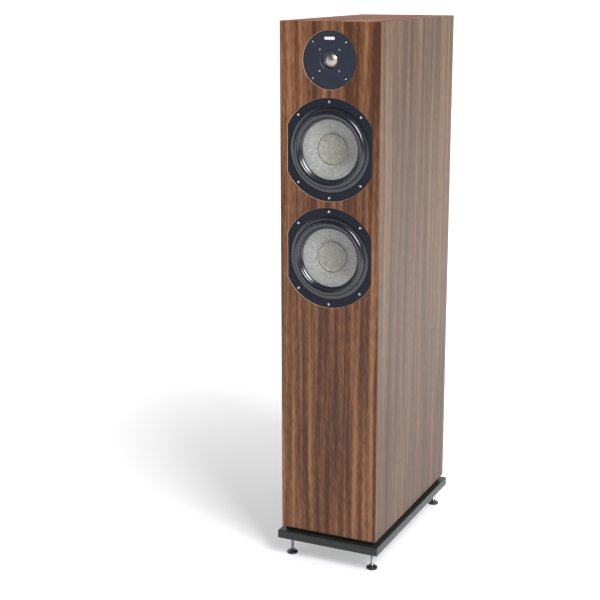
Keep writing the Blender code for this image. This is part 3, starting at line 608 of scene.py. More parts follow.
# The top's paler, pinker tones are a painted sheen for the bright room it mirrors; the bottom board shares
# them.
WALNUT_TOP_PAINTED_SHEEN = walnut("walnut_top_painted_sheen", "XYZ", (0.62, 0, 0), gloss=0.08, coat=0, dull=0.26,
                    Light=screen(162, 118, 96), Medium=screen(140, 98, 78), Dark=screen(96, 65, 51))

# %% [markdown]
# ## Board under the veneer
# Behind the veneer and inside the cabinet is pressed wood fibre. It shows where the driver
# recesses are cut: pale brown, matt, with short fibres.

# %% Raw board
RAW_BOARD, tree, shader, place = begin("raw_board", IOR=1.45)
fibre = noise(tree, scaled(tree, place, 1, 1, 0.3), 1400, 4, 0.7)
clump = noise(tree, place, 60, 3, 0.6)
colour = mixed(tree, fibre, screen(150, 122, 100), screen(190, 162, 136))
colour = mixed(tree, maths(tree, "MULTIPLY", clump, 0.35), colour, screen(128, 92, 64))
end(tree, shader, colour, sloped(tree, fibre, 0.15, 0.75), fibre, 0.0001, 0.6)

# %% [markdown]
# ## Black stained ash
# The plinth is ash that was stained black: open pores run along the board as fine grooves and
# catch a little light. The spacer above it is only painted, a matt black with no grain.

# %% Black ash and matt black paint
BLACK_ASH, tree, shader, place = begin("black_ash", Specular_IOR_Level=0.3, Coat_Weight=0.3,
                                       Coat_Roughness=0.16)
run = scaled(tree, turned_to(tree, place, "YXZ"), 1, 0.04, 1)
groove = spread(tree, noise(tree, run, 700, 2, 0.6), 0.5, 0.68)
tint = noise(tree, run, 120, 2)
colour = mixed(tree, tint, screen(14, 16, 16), screen(38, 42, 41))
colour = mixed(tree, maths(tree, "MULTIPLY", groove, 0.5), colour, screen(60, 64, 62))
dusty = use(tree, SETTLED_DUST, Vector=place, Amount=0.06, Color=colour)
relief = maths(tree, "SUBTRACT", tint, groove)
end(tree, shader, dusty["Color"], sloped(tree, groove, 0.22, 0.34), relief, 0.00012)

PAINTED_BLACK, tree, shader, place = begin("painted_black")
skin = use(tree, FINE_SKIN, Vector=place, Scale=1800.0)
colour = mixed(tree, skin["Patch"], screen(14, 14, 14), screen(26, 26, 27))
end(tree, shader, colour, sloped(tree, skin["Patch"], 0.2, 0.62), skin["Height"], 0.00006)

# %% [markdown]
# ## Black parts of the drivers and the back
# The cast frames are powder coated: a slightly blue black with a fine orange-peel skin. The
# tweeter's plate is a finer satin, and the port and terminal cup are textured plastic. One
# function makes them all, with its own tones, skin and gloss for each.

# %% Coated and moulded blacks
def black_skin(name, low, high, roughness, scale, depth, dust=0.3, **sockets):
    """Tones from low to high in soft patches, a skin of bumps of that scale and depth, and dust."""
    look, tree, shader, place = begin(name, **sockets)
    skin = use(tree, FINE_SKIN, Vector=place, Scale=scale)
    colour = mixed(tree, skin["Patch"], screen(*low), screen(*high))
    dusty = use(tree, SETTLED_DUST, Vector=place, Amount=dust, Color=colour)
    rough = sloped(tree, dusty["Dust"], 0.3, sloped(tree, skin["Patch"], 0.12, roughness))
    end(tree, shader, dusty["Color"], rough, skin["Height"], depth)
    return look


CAST_BLACK = black_skin("cast_black", (20, 24, 34), (31, 35, 47), 0.36, 2200.0, 0.00006,
                        Specular_IOR_Level=0.16)
SATIN_BLACK = black_skin("satin_black", (30, 35, 47), (42, 47, 60), 0.4, 3600.0, 0.00003,
                         Specular_IOR_Level=0.22)
MOULDED = black_skin("moulded", (22, 22, 23), (36, 36, 38), 0.42, 1500.0, 0.0001)
RUBBER = black_skin("rubber", (14, 17, 25), (27, 31, 41), 0.18, 5200.0, 0.00002, dust=0.05, IOR=1.65)
GLOSS_BLACK = black_skin("gloss_black", (6, 6, 7), (14, 14, 15), 0.1, 900.0, 0.00001,
                         Coat_Weight=0.5, Coat_Roughness=0.05)
KNOB_BLACK = black_skin("knob_black", (12, 12, 13), (24, 24, 25), 0.24, 2600.0, 0.00002)
KNOB_RED = black_skin("knob_red", (120, 12, 12), (150, 22, 20), 0.24, 2600.0, 0.00002)
FOAM = black_skin("foam", (26, 26, 26), (52, 52, 52), 0.85, 1400.0, 0.0004)
FERRITE = black_skin("ferrite", (44, 44, 48), (66, 66, 70), 0.55, 3000.0, 0.00005)
LEAD_BLACK = black_skin("lead_black", (24, 24, 25), (38, 38, 40), 0.45, 800.0, 0.00005)

# %% [markdown]
# ## Woven cone and cap
# The cones are glass fibre cloth pressed in resin. The weave shows through a clear skin, pale
# grey, with darker resin in the gaps between the yarns. The cap is woven more openly, of
# a warmer yarn.

# %% Woven fibre, for cone and cap, and the spider's cloth
def woven(name, yarn, pale, gap, pitch, depth, roughness, **sockets):
    """A plain weave of that pitch across the front: yarns from yarn to pale, and dark in the gaps."""
    look, tree, shader, place = begin(name, **sockets)
    weave = use(tree, PLAIN_WEAVE, Vector=turned_to(tree, place, "XZY"), Pitch=pitch)
    cloud = spread(tree, noise(tree, place, 150, 3, 0.7), 0.35, 0.65)
    colour = mixed(tree, spread(tree, weave["Yarn"], 0.35, 1.0), screen(*yarn), screen(*pale))
    colour = mixed(tree, maths(tree, "MULTIPLY", cloud, 0.28), colour, screen(*gap))
    colour = mixed(tree, weave["Gap"], colour, screen(*gap))
    end(tree, shader, colour, sloped(tree, weave["Gap"], -0.12, roughness), weave["Height"], depth, 0.6)
    return look


CONE_FIBRE = woven("cone_fibre", (132, 132, 130), (190, 190, 189), (80, 80, 76), 0.0017, 0.00022, 0.42,
                   Coat_Weight=0.3, Coat_Roughness=0.22)
CAP_FIBRE = woven("cap_fibre", (130, 129, 119), (186, 185, 177), (70, 69, 60), 0.0021, 0.00026, 0.45,
                  Coat_Weight=0.3, Coat_Roughness=0.22)
SPIDER_CLOTH = woven("spider_cloth", (178, 120, 52), (204, 148, 74), (110, 66, 24), 0.0009, 0.00012, 0.8)

# %% [markdown]
# ## Metals
# Turned steel and brass carry lathe rings round the part's own axis. The tweeter's dome is thin
# polished metal, and its gloss is uneven only in a very fine way.

# %% Metals, each with rings round an axis
def metal(name, low, high, roughness, spacing=0.0004, order="XYZ", centre=(0, 0, 0), depth=0.00002):
    """Rings of that spacing round the order's third axis, through the centre."""
    look, tree, shader, place = begin(name, Metallic=1.0)
    from_axis = turned_to(tree, place, order, [-v for v in centre])
    rings = use(tree, LATHE_RINGS, Vector=from_axis, Spacing=spacing)
    colour = mixed(tree, rings["Shine"], screen(*low), screen(*high))
    end(tree, shader, colour, sloped(tree, rings["Shine"], 0.16, roughness), rings["Height"], depth, 0.4)
    return look


STEEL = metal("steel", (168, 170, 174), (214, 216, 220), 0.2)
SCREW_STEEL = metal("screw_steel", (150, 153, 160), (196, 198, 204), 0.2)
BLACK_SCREW = metal("black_screw", (34, 34, 36), (58, 58, 60), 0.3)
GOLD = metal("gold", (206, 158, 72), (240, 196, 108), 0.16)
COPPER = metal("copper", (176, 92, 48), (216, 126, 76), 0.3, spacing=0.0005)
DOME_METAL = metal("dome_metal", (150, 143, 140), (186, 180, 178), 0.3, 0.0006, "XZY",
                   (0, 0, TWEETER_Z), 0.000004)

# %% [markdown]
# ## Small plain finishes
# Badge, circuit board, capacitors, resistor and fleece are each one material with no figure of
# its own. Soft spots of noise move their tone, gloss and relief together, which is enough for
# surfaces this small or this well hidden.

# %% Finishes with only soft spots
def mottled(name, low, high, roughness, scale, depth):
    look, tree, shader, place = begin(name)
    spots = noise(tree, place, scale, 3, 0.6)
    colour = mixed(tree, spots, screen(*low), screen(*high))
    end(tree, shader, colour, sloped(tree, spots, 0.15, roughness), spots, depth)
    return look


BADGE_SILVER = mottled("badge_silver", (206, 206, 208), (236, 236, 238), 0.3, 1800.0, 0.00001)
BOARD_GREEN = mottled("board_green", (34, 92, 58), (52, 116, 76), 0.4, 500.0, 0.00003)
FILM_YELLOW = mottled("film_yellow", (206, 166, 58), (230, 192, 84), 0.3, 300.0, 0.00002)
CEMENT = mottled("cement", (206, 204, 192), (232, 230, 220), 0.75, 1200.0, 0.0001)
FLEECE = mottled("fleece", (196, 193, 182), (236, 234, 226), 0.85, 700.0, 0.0008)

# %% [markdown]
# ## The floor's finish
# The floor is matt and nearly white. It glows a little, more so the further it is from the
# speaker, and this glow is painted light. Away from the speaker it washes out the cast shadow, so
# that the floor runs into the white room without an edge. Near the base the weaker glow keeps a
# painted shade. Left at that it would light the cabinet from below, so the Light Path node weakens
# the glow for the rays that carry light from one matt surface to another. The camera and the
# glossy reflections still see all of it.

# %% Pale floor with a painted glow
GLOW_NEAR, GLOW_FAR, GLOW_AS_LIGHT = 0.2, 1.9, 0.36
look, tree, shader, place = begin("floor_painted_glow", Roughness=0.7, Emission_Strength=1.0)
tint = mixed(tree, noise(tree, place, 3, 2), screen(206, 206, 208), screen(210, 210, 212))
tree.links.new(tint, shader.inputs["Base Color"])
distance = add(tree, "VectorMath", {0: place}, operation="LENGTH").outputs["Value"]
# Painted light: a dim grey glow near the speaker keeps a painted shade, and white further out hides the cast
# shadow.
glow = mixed(tree, spread(tree, distance, GLOW_NEAR, GLOW_FAR), (0.4, 0.4, 0.405, 1), WHITE)
lights_others = add(tree, "LightPath").outputs["Is Diffuse Ray"]
glow = mixed(tree, lights_others, glow, scaled(tree, glow, GLOW_AS_LIGHT, GLOW_AS_LIGHT, GLOW_AS_LIGHT))
tree.links.new(glow, shader.inputs["Emission Color"])
studio_floor.data.materials.append(look)
print("finishes:", len(bpy.data.materials), "groups:", len(bpy.data.node_groups))

# %% [markdown]
# ## The cabinet's boards
# Six veneered boards meet in 45 degree mitres. A board is a profile of (inset, depth) carried
# round its rectangle: flat, then an eighth of a round-over, then the mitre. Two neighbours'
# eighths make one soft edge, and the mitre itself is only a hair line.

# %% A mitred edge, and the plain boards
EDGE_ROUND, MITRE_AIR = mm(1.2, 0.02)
HELD = 1.4
EDGE_HOLD = EDGE_ROUND * HELD


def mitred_edge():
    """Rows of (inset, depth): a held flat line, an arc of 45 degrees, then the mitre."""
    arc = np.linspace(0, np.pi / 4, 4)
    curve = stacked(EDGE_ROUND * (1 - np.sin(arc)), EDGE_ROUND * (1 - np.cos(arc)))
    return np.concatenate([[(EDGE_HOLD, 0)], curve, [(PANEL, PANEL)]]) + [MITRE_AIR, 0]


def plain_board(name, node, half_a, half_b, lay, look):
    """A mitred board. lay turns (a, b, depth from its outer face) into the shared frame."""
    closing = min(half_a, half_b)
    profile = np.concatenate([[(closing, 0)], mitred_edge(), [(closing, PANEL)]])
    rows = lay(carried_round(profile, half_a, half_b, 0, 1))
    patches = [(rows[:6], True, 0), (rows[5:], True, 1)]
    return belongs(mesh_of(name, patches, [look, RAW_BOARD]), "enclosure", "walnut_veneer", node)


plain_board("left_side_board", "left_side_panel", HALF_DEPTH, HALF_HEIGHT,
            lambda p: stacked(p[..., 2] - HALF_WIDTH, p[..., 0], MID_HEIGHT + p[..., 1]), WALNUT_LEFT)
plain_board("right_side_board", "right_side_panel", HALF_DEPTH, HALF_HEIGHT,
            lambda p: stacked(HALF_WIDTH - p[..., 2], p[..., 0], MID_HEIGHT + p[..., 1]), WALNUT_RIGHT_PAINTED_LIGHT)
plain_board("top_board", "top_panel", HALF_WIDTH, HALF_DEPTH,
            lambda p: stacked(p[..., 0], p[..., 1], CABINET_HIGH - p[..., 2]), WALNUT_TOP_PAINTED_SHEEN)
plain_board("bottom_board", "bottom_panel", HALF_WIDTH, HALF_DEPTH,
            lambda p: stacked(p[..., 0], p[..., 1], CABINET_LOW + p[..., 2]), WALNUT_TOP_PAINTED_SHEEN)

# %% [markdown]
# ## Boards with openings
# The front board has three stepped openings, and the back board two plain ones. The board is
# split into cells, one for each opening. In a cell the faces fan from the opening's rim to the
# cell's border, so the rim stays round, and a small chamfer shows the raw board in the cut.

# %% Front and back boards
CHAMFER = 0.45 * MM
HOLE_STEPS = 32


def flatted(radius, flat):
    """Reach of a circle with two flats: the smaller of the radius and flat / |cos a|."""
    return lambda angle: np.minimum(radius, flat / np.maximum(np.abs(np.cos(angle)), 1e-9))


def shrunk(half_a, half_b, inset):
    """Maps a point of the full face to the face shrunk by the inset on each side."""
    return lambda a, b: stacked(a * (half_a - inset) / half_a, b * (half_b - inset) / half_b)


def rows_of_border(half_a, half_b, loop, profile):
    """The points of a border, once for each (inset, depth) of the profile."""
    return np.stack([with_depth(shrunk(half_a, half_b, inset)(*loop), depth) for inset, depth in profile])


def pierced_board(half_a, half_b, b_lines, b_counts, holes):
    """Both faces of a board with holes in the cells of its b lines, and its mitred edge."""
    a_cells, b_cells = along([-half_a, half_a], [HOLE_STEPS]), along(b_lines, b_counts)
    hold, air = EDGE_HOLD + MITRE_AIR, PANEL + MITRE_AIR
    patches = pierced(a_cells, b_cells, shrunk(half_a, half_b, hold), 0,
                      holes, (shrunk(half_a, half_b, air), PANEL))
    loop = border(a_cells[0], np.unique(np.concatenate(b_cells)))
    edge = rows_of_border(half_a, half_b, loop, mitred_edge())
    return patches + [(edge[:5], True, 0), (edge[4:], True, 1)]


def stepped(reach_of, recess, hole, depth):
    """Rings of a recess: chamfer, wall, floor and the hole through."""
    rim = reach_of(0)
    return [(reach_of(CHAMFER), 0), (rim, CHAMFER), (rim, recess), (hole, recess), (hole, depth)]


WOOFER_CUT, WOOFER_CUT_FLAT, WOOFER_CUT_DEPTH, WOOFER_THROUGH = mm(90.5, 80.5, 5.6, 74.6)
TWEETER_CUT, TWEETER_CUT_DEPTH, TWEETER_THROUGH = mm(50.5, 4.3, 38)
BELOW_WOOFER, BELOW_TWEETER = mm(104, 57.4)
woofer_rings = stepped(lambda grow: flatted(WOOFER_CUT + grow, WOOFER_CUT_FLAT + grow),
                       WOOFER_CUT_DEPTH, WOOFER_THROUGH, PANEL)
tweeter_rings = stepped(lambda grow: TWEETER_CUT + grow, TWEETER_CUT_DEPTH, TWEETER_THROUGH, PANEL)
low_up, high_up = WOOFERS["lower_woofer"] - MID_HEIGHT, WOOFERS["upper_woofer"] - MID_HEIGHT
tweeter_up = TWEETER_Z - MID_HEIGHT
lines = [-HALF_HEIGHT, low_up - BELOW_WOOFER, (low_up + high_up) / 2, tweeter_up - BELOW_TWEETER, HALF_HEIGHT]
patches = pierced_board(HALF_WIDTH, HALF_HEIGHT, lines, [6, HOLE_STEPS, HOLE_STEPS, HOLE_STEPS],
                        {(0, 1): ((0, low_up), woofer_rings), (0, 2): ((0, high_up), woofer_rings),
                         (0, 3): ((0, tweeter_up), tweeter_rings)})
placed = laid(patches, lambda p: on_front(p, MID_HEIGHT), one_look=False)
belongs(mesh_of("front_board", placed, [WALNUT_FRONT, RAW_BOARD]),
        "enclosure", "walnut_veneer", "front_baffle")

PORT_HOLE, CUP_OPEN_A, CUP_OPEN_B, BESIDE_OPENING = mm(34.1, 36.3, 27.3, 50)


def cup_reach(angle):
    """Reach of a rectangle: the smaller of a / |cos| and b / |sin|."""
    return np.minimum(CUP_OPEN_A / np.maximum(np.abs(np.cos(angle)), 1e-9),
                      CUP_OPEN_B / np.maximum(np.abs(np.sin(angle)), 1e-9))


port_up, cup_up = PORT_Z - MID_HEIGHT, CUP_Z - MID_HEIGHT
lines = [-HALF_HEIGHT, cup_up - BESIDE_OPENING, cup_up + BESIDE_OPENING,
         port_up - BESIDE_OPENING, port_up + BESIDE_OPENING, HALF_HEIGHT]
patches = pierced_board(HALF_WIDTH, HALF_HEIGHT, lines, [2, 24, 4, 24, 6],
                        {(0, 1): ((0, cup_up), [(cup_reach, 0), (cup_reach, PANEL)]),
                         (0, 3): ((0, port_up), [(PORT_HOLE, 0), (PORT_HOLE, PANEL)])})
placed = laid(patches, lambda p: on_back(p * [1, 1, -1], MID_HEIGHT), one_look=False)
belongs(mesh_of("back_board", placed, [WALNUT_BACK, RAW_BOARD]),
        "enclosure", "walnut_veneer", "back_panel")

# %% [markdown]
# ## Plinth
# The plinth is one board, wider than the cabinet, with softened edges. Its threaded feet pass
# through four holes. Between it and the cabinet sits a smaller black board, which makes the
# shadow gap; the CAD solid of that one is already right, and only takes a finish.

# %% Plinth board with four holes
plinth_low, plinth_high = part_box("plinth_board")
PLINTH_A, PLINTH_B = plinth_high.x, plinth_high.y
PLINTH_THICK = plinth_high.z - plinth_low.z
FOOT_X, FOOT_Y = middle("foot_stud_4").x, middle("foot_stud_4").y
PLINTH_ROUND, BESIDE_FOOT, BEFORE_FOOT = mm(1.2, 14, 18)
stud_hole = [(4.1 * MM, 0), (3.6 * MM, 0.5 * MM), (3.6 * MM, PLINTH_THICK)]
a_cells = along([-PLINTH_A, -FOOT_X + BESIDE_FOOT, FOOT_X - BESIDE_FOOT, PLINTH_A], [8, 4, 8])
b_cells = along([-PLINTH_B, -FOOT_Y + BEFORE_FOOT, FOOT_Y - BEFORE_FOOT, PLINTH_B], [8, 4, 8])
flat_part = shrunk(PLINTH_A, PLINTH_B, PLINTH_ROUND * HELD)
holes = {(i, j): ((x, y), stud_hole)
         for i, x in ((0, -FOOT_X), (2, FOOT_X)) for j, y in ((0, -FOOT_Y), (2, FOOT_Y))}
patches = pierced(a_cells, b_cells, flat_part, 0, holes, (flat_part, PLINTH_THICK))
quarter = np.linspace(0, np.pi / 2, 5)
turn_over = stacked(PLINTH_ROUND * (1 - np.sin(quarter)), PLINTH_ROUND * (1 - np.cos(quarter)))
side = np.concatenate([[(PLINTH_ROUND * HELD, 0)], turn_over, [(0, PLINTH_ROUND * 1.6)]])
side = np.concatenate([side, side[::-1] * [1, -1] + [0, PLINTH_THICK]])
loop = border(np.unique(np.concatenate(a_cells)), np.unique(np.concatenate(b_cells)))
patches.append((rows_of_border(PLINTH_A, PLINTH_B, loop, side), True, 0))
placed = laid(patches, lambda p: on_floor(p, z=plinth_low.z))
belongs(mesh_of("plinth", placed, [BLACK_ASH]), "enclosure", "black_ash", "plinth_board")

# %% [markdown]
# ## Threads, screws and feet
# A thread is a cylinder whose radius depends on height and angle together: where height / pitch
# minus angle / full turn is a whole number there is a crest, half way between there is a valley,
# and so the crest climbs one pitch for each turn. A hexagon socket has the reach apothem / cos(a),
# with a folded into the 30 degrees either side of each face.

# %% Threads and socket screws
def threaded(radius, low, high, pitch, depth, angles, rows_per_turn=7, tip=0.8 * MM):
    """Rows of a threaded shaft: radius less depth times |2 f - 1|, where f is the fraction of
    height / pitch - angle / 2 pi. Both ends are chamfered over the tip's length."""
    count = int((high - low) / pitch * rows_per_turn) + 1
    height = np.linspace(low, high, count)[:, None]
    phase = height / pitch - angles[None, :] / (2 * np.pi)
    ridge = np.abs(2 * (phase - np.floor(phase)) - 1)
    end = np.clip(1 - np.minimum(height - low, high - height) / tip, 0, 1)
    reach = radius - depth * np.maximum(ridge, end) - 0.3 * tip * end
    return around(reach, angles, height)


def hexagon(apothem, angles):
    return apothem / np.cos(np.mod(angles, np.pi / 3) - np.pi / 6)


def socket_screw(radius, back, face, apothem, sides=36):
    """A cap screw's head from its seat to its face: rows of (reach, depth), round outside and
    six-sided in the socket, which ends in a shallow cone."""
    angles = all_round(sides)
    ease, floor = 0.35 * MM, face + (back - face) * 0.7
    rows = [(0, back), (radius, back), (radius, face + ease), (radius - 0.1 * MM, face + 0.1 * MM),
            (radius - ease, face), (radius - 1.5 * ease, face)]
    reach = [np.full(sides, r) for r, _ in rows]
    depth = [d for _, d in rows]
    six = hexagon(apothem, angles)
    reach += [six + 0.12 * MM, six, six, six * 0]
    depth += [face, face + 0.12 * MM, floor, floor + (back - face) * 0.12]
    return around(np.stack(reach), angles, np.array(depth)[:, None])


def spots_on(radius, degrees):
    """Points (right, up) on a circle, at the angles given."""
    return [(radius * math.cos(math.radians(a)), radius * math.sin(math.radians(a))) for a in degrees]


def screws(name, head, places, lay, look):
    """One piece with a screw at each place (right, up)."""
    patches = [(lay(head + [right, up, 0]), True, 0) for right, up in places]
    return belongs(mesh_of(name, patches, [look]), "enclosure", "steel")


# %% Levelling feet
FOOT_SIDES = all_round(64)
THREAD_SIDES = all_round(28)
disc_profile = eased(mm((0, 0), (9.9, 0), (10.5, 0.6), (10.5, 3.2), (9.7, 3.9), (4.8, 5), (4.8, 8), (3.4, 8),
                        (3.4, 3), (0, 3)), 0.5 * MM, closed=False)
disc = turn(disc_profile, FOOT_SIDES)
stud = threaded(*mm(3, 3.3, 50.5, 1.25, 0.45), THREAD_SIDES)
stud = np.concatenate([stud[:1] * [0, 0, 1], stud, stud[-1:] * [0, 0, 1]])
for number in (1, 2, 3, 4):
    at = middle(f"foot_stud_{number}")
    belongs(round_mesh(f"foot_{number}_turned_disc", on_floor(disc, at.x, at.y), GLOSS_BLACK),
            f"foot_{number}_disc", "gloss_black", f"foot_base_{number}")
    belongs(round_mesh(f"foot_{number}_threaded_stud", on_floor(stud, at.x, at.y), STEEL),
            f"foot_{number}_screw", "steel", f"foot_stud_{number}")

# %% [markdown]
# ## Woofer frame
# The frame is cast in one piece: a flange with two flats, a step for the surround and a bowl
# with windows. The flange's face is a ring cut into cells by angle, and six of the cells have a
# counterbore for a screw. The bowl is a thin surface with its window faces left out, and a
# Solidify modifier gives it its wall.

# %% Frame: flange and bowl
FLANGE_R, FLANGE_FLAT, FLANGE_FACE, ROUND_WITHIN, SCREW_RING = mm(89.8, 79.8, 0.4, 76.5, 84)
SCREW_ANGLES = (45, 90, 135, 225, 270, 315)
CORNER = math.degrees(math.acos(FLANGE_FLAT / FLANGE_R))


def flange_reach(angle, radius):
    """Within ROUND_WITHIN a plain circle. Outside it the flats move in with the radius."""
    flat = flatted(radius, FLANGE_FLAT - (FLANGE_R - radius))(angle)
    return np.where(radius > ROUND_WITHIN, flat, radius)


flange_profile = eased(mm((89.8, 0.4), (89.8, 4), (72.6, 4), (72.1, 6), (69.2, 6), (69.2, 2.4), (75.6, 2.4),
                          (75.6, 0.4)), mm(0.8, 0.3, 0.2, 0.2, 0.2, 0.3, 0.2, 0.4))[:-1]
degrees = [-CORNER, CORNER, 39, 51, 84, 96, 129, 141, 180 - CORNER, 180 + CORNER,
           219, 231, 264, 276, 309, 321, 360 - CORNER]
steps = [22, 5, 6, 14, 6, 14, 6, 5, 22, 5, 6, 14, 6, 14, 6, 5]
angle_cells = along(np.radians(degrees), steps)
flange_angles = np.unique(np.concatenate(angle_cells).round(9))[:-1]
inner, outer = flange_profile[-1, 0], flange_profile[0, 0]


def flange_plane(angle, share):
    radius = inner + (flange_reach(angle, outer) - inner) * share
    return stacked(radius * np.cos(angle), radius * np.sin(angle))


bores = mm((4.1, 0.4), (3.8, 0.7), (3.8, 2.6), (0, 2.6))
spots = spots_on(SCREW_RING, SCREW_ANGLES)
flange = pierced(angle_cells, along([0, 1], [6]), flange_plane, FLANGE_FACE,
                 {(i, 0): (spot, bores) for i, spot in zip((2, 4, 6, 10, 12, 14), spots)})
edge_reach = flange_reach(flange_angles, flange_profile[:, :1])
flange.append((around(edge_reach, flange_angles, flange_profile[:, 1:]), True, 0))

WINDOWS, BOWL_COLUMNS, WINDOW_ROWS = 6, 120, (2, 8)


def bowl_surface():
    """The bowl's middle surface: radius 71.5 - 0.4715 (depth - 4) mm down to the rear plate, then
    in along the plate, turned round the axis."""
    depth = np.concatenate([[5.5, 8, 11], np.linspace(14, 33, 6), [38, 44, 50.5]])
    wall = stacked(71.5 - (depth - 4) * 0.4715, depth)
    plate = [(48.6, 52.2), (40, 52.2), (28, 52.2)]
    return turn(np.concatenate([wall, plate]) * MM, all_round(BOWL_COLUMNS))


bowl = bowl_surface()
row, column = np.indices((bowl.shape[0] - 1, bowl.shape[1]))
share = BOWL_COLUMNS // WINDOWS
from_middle = np.abs((column + share // 2) % share - share // 2 + 0.5)
in_window = (row >= WINDOW_ROWS[0]) & (row < WINDOW_ROWS[1]) & (from_middle < 0.35 * share)
print("flange:", len(flange), "patches, bowl:", bowl.shape, "window faces:", int(in_window.sum()))

# %% [markdown]
# ## Surround, cone, cap and spider
# The rubber surround is a half roll: a half circle, flattened a little, between a lip on the
# frame and a lip on the cone. The cone steepens towards the coil. The cap is a shallow dish with
# a raised rim, and the spider is a cloth disc with round waves.

# %% Profiles of the woofer's soft parts
def cone_depth(radius):
    """5 mm at the edge plus 20.5 mm times ((54 - r) / 40.4) ^ 1.45."""
    return (5 + 20.5 * np.clip((54 - radius / MM) / 40.4, 0, 1) ** 1.45) * MM


def shell(front, wall):
    """A profile and the same profile moved back by the wall, closed."""
    front = np.asarray(front)
    back = front[::-1] + [0, wall]
    return np.concatenate([front, back, front[:1]])


def half_roll(middle_r, half, base, height, count=22):
    """Points of a half ellipse: r = middle + half cos a, depth = base - height sin a."""
    a = np.linspace(0, np.pi, count)
    return stacked(middle_r + half * np.cos(a), base - height * np.sin(a))


roll = half_roll(*mm(62.3, 6.3, 1.2, 5.6))
under = half_roll(*mm(62.3, 5.4, 2.1, 5.3))[::-1]
outer_lip = mm((74.7, 2.1), (75, 1.9), (75, 1.4), (74.7, 1.2), (69.4, 1.2))
cone_lip = mm((55.4, 1.75), (54.6, 2.9), (53.4, 3.65), (52.8, 3.95), (52.8, 4.6), (54.4, 4.5))
surround_profile = np.concatenate([outer_lip, roll, cone_lip, under, mm((69.4, 2.1), (74.7, 2.1))])
cone_r = np.linspace(54 * MM, 13.7 * MM, 26)
cone_profile = shell(stacked(cone_r, cone_depth(cone_r)), 0.9 * MM)
CAP_RIM, CAP_WALL, CAP_DISH = mm(27, 0.9, 6.2)
cap_foot = cone_depth(CAP_RIM) - 0.3 * MM
cap_top = cap_foot - 2.2 * MM
share = np.linspace(0, 1, 18)
dish = stacked((CAP_RIM - CAP_WALL) * share, cap_top + 0.35 * MM + CAP_DISH * (1 - share ** 2))
rim = mm((-0.7, 0.1), (-0.45, 0), (-0.15, 0.1), (0, 0.4)) + [CAP_RIM, cap_top]
skirt = mm((0, 0), (-0.9, -0.2)) + [CAP_RIM, cap_foot]
cap_profile = np.concatenate([dish, rim, skirt, dish[-2::-1] + [0, CAP_WALL]])
wave_r = np.linspace(13.6 * MM, 52 * MM, 90)
wave_share = (wave_r - wave_r[0]) / (wave_r[-1] - wave_r[0])
WAVE_MIDDLE, WAVE_HEIGHT, HALF_WAVES = 33.4 * MM, 0.9 * MM, 8
wave = WAVE_HEIGHT * np.minimum(wave_share * HALF_WAVES, 1) * np.cos(np.pi * HALF_WAVES * wave_share)
spider_profile = shell(stacked(wave_r, WAVE_MIDDLE + wave), 0.6 * MM)
print("cap: foot", round(cap_foot / MM, 2), "mm and rim", round(cap_top / MM, 2), "mm behind the front")

# %% [markdown]
# ## Coil and magnet
# Hidden behind the cone, but part of the model: the coil on its former, a steel plate, a ferrite
# ring and the yoke with its pole. The winding is modelled as a row of round wires.

# %% Profiles of the coil and motor
def winding(radius, low, high, wire):
    """Half circles side by side, one for each wire, from low to high."""
    count = int((high - low) / wire)
    arc = np.linspace(0, np.pi, 5)[:-1]
    turn_number = np.arange(count)[:, None]
    depth = low + (turn_number + (1 - np.cos(arc)) / 2) * (high - low) / count
    return stacked(radius + wire / 2 * np.sin(arc), depth).reshape(-1, 2)


coil_profile = np.concatenate([[(12.6, 26.7), (13.3, 26.7), (13.3, 50)], winding(13.3, 50, 63, 0.6),
                               [(13.3, 63), (12.6, 63), (12.6, 26.7)]]) * MM
MOTOR = {
    "top_plate": ([(14.4, 54.3), (49, 54.3), (49, 60.3), (14.4, 60.3)], STEEL, "steel"),
    "magnet": ([(22, 60.6), (50, 60.6), (50, 78), (22, 78)], FERRITE, "ferrite"),
    "yoke": ([(4, 54.3), (11.9, 54.3), (11.9, 78.3), (48, 78.3), (48, 84), (4, 84)], STEEL, "steel"),
    "gasket": ([(75.6, 4.3), (88.8, 4.3), (88.8, 5.3), (75.6, 5.3)], FOAM, "foam"),
}
print("coil profile:", len(coil_profile), "points")


# %% Build both woofers
def turned_piece(name, profile, z, look, body, slot, *nodes, sides=96):
    """A profile turned round an axis of the front. Without a body it is left for flexes()."""
    piece = round_mesh(name, on_front(turn(profile, all_round(sides)), z), look)
    return belongs(piece, body, slot, *nodes) if body else piece


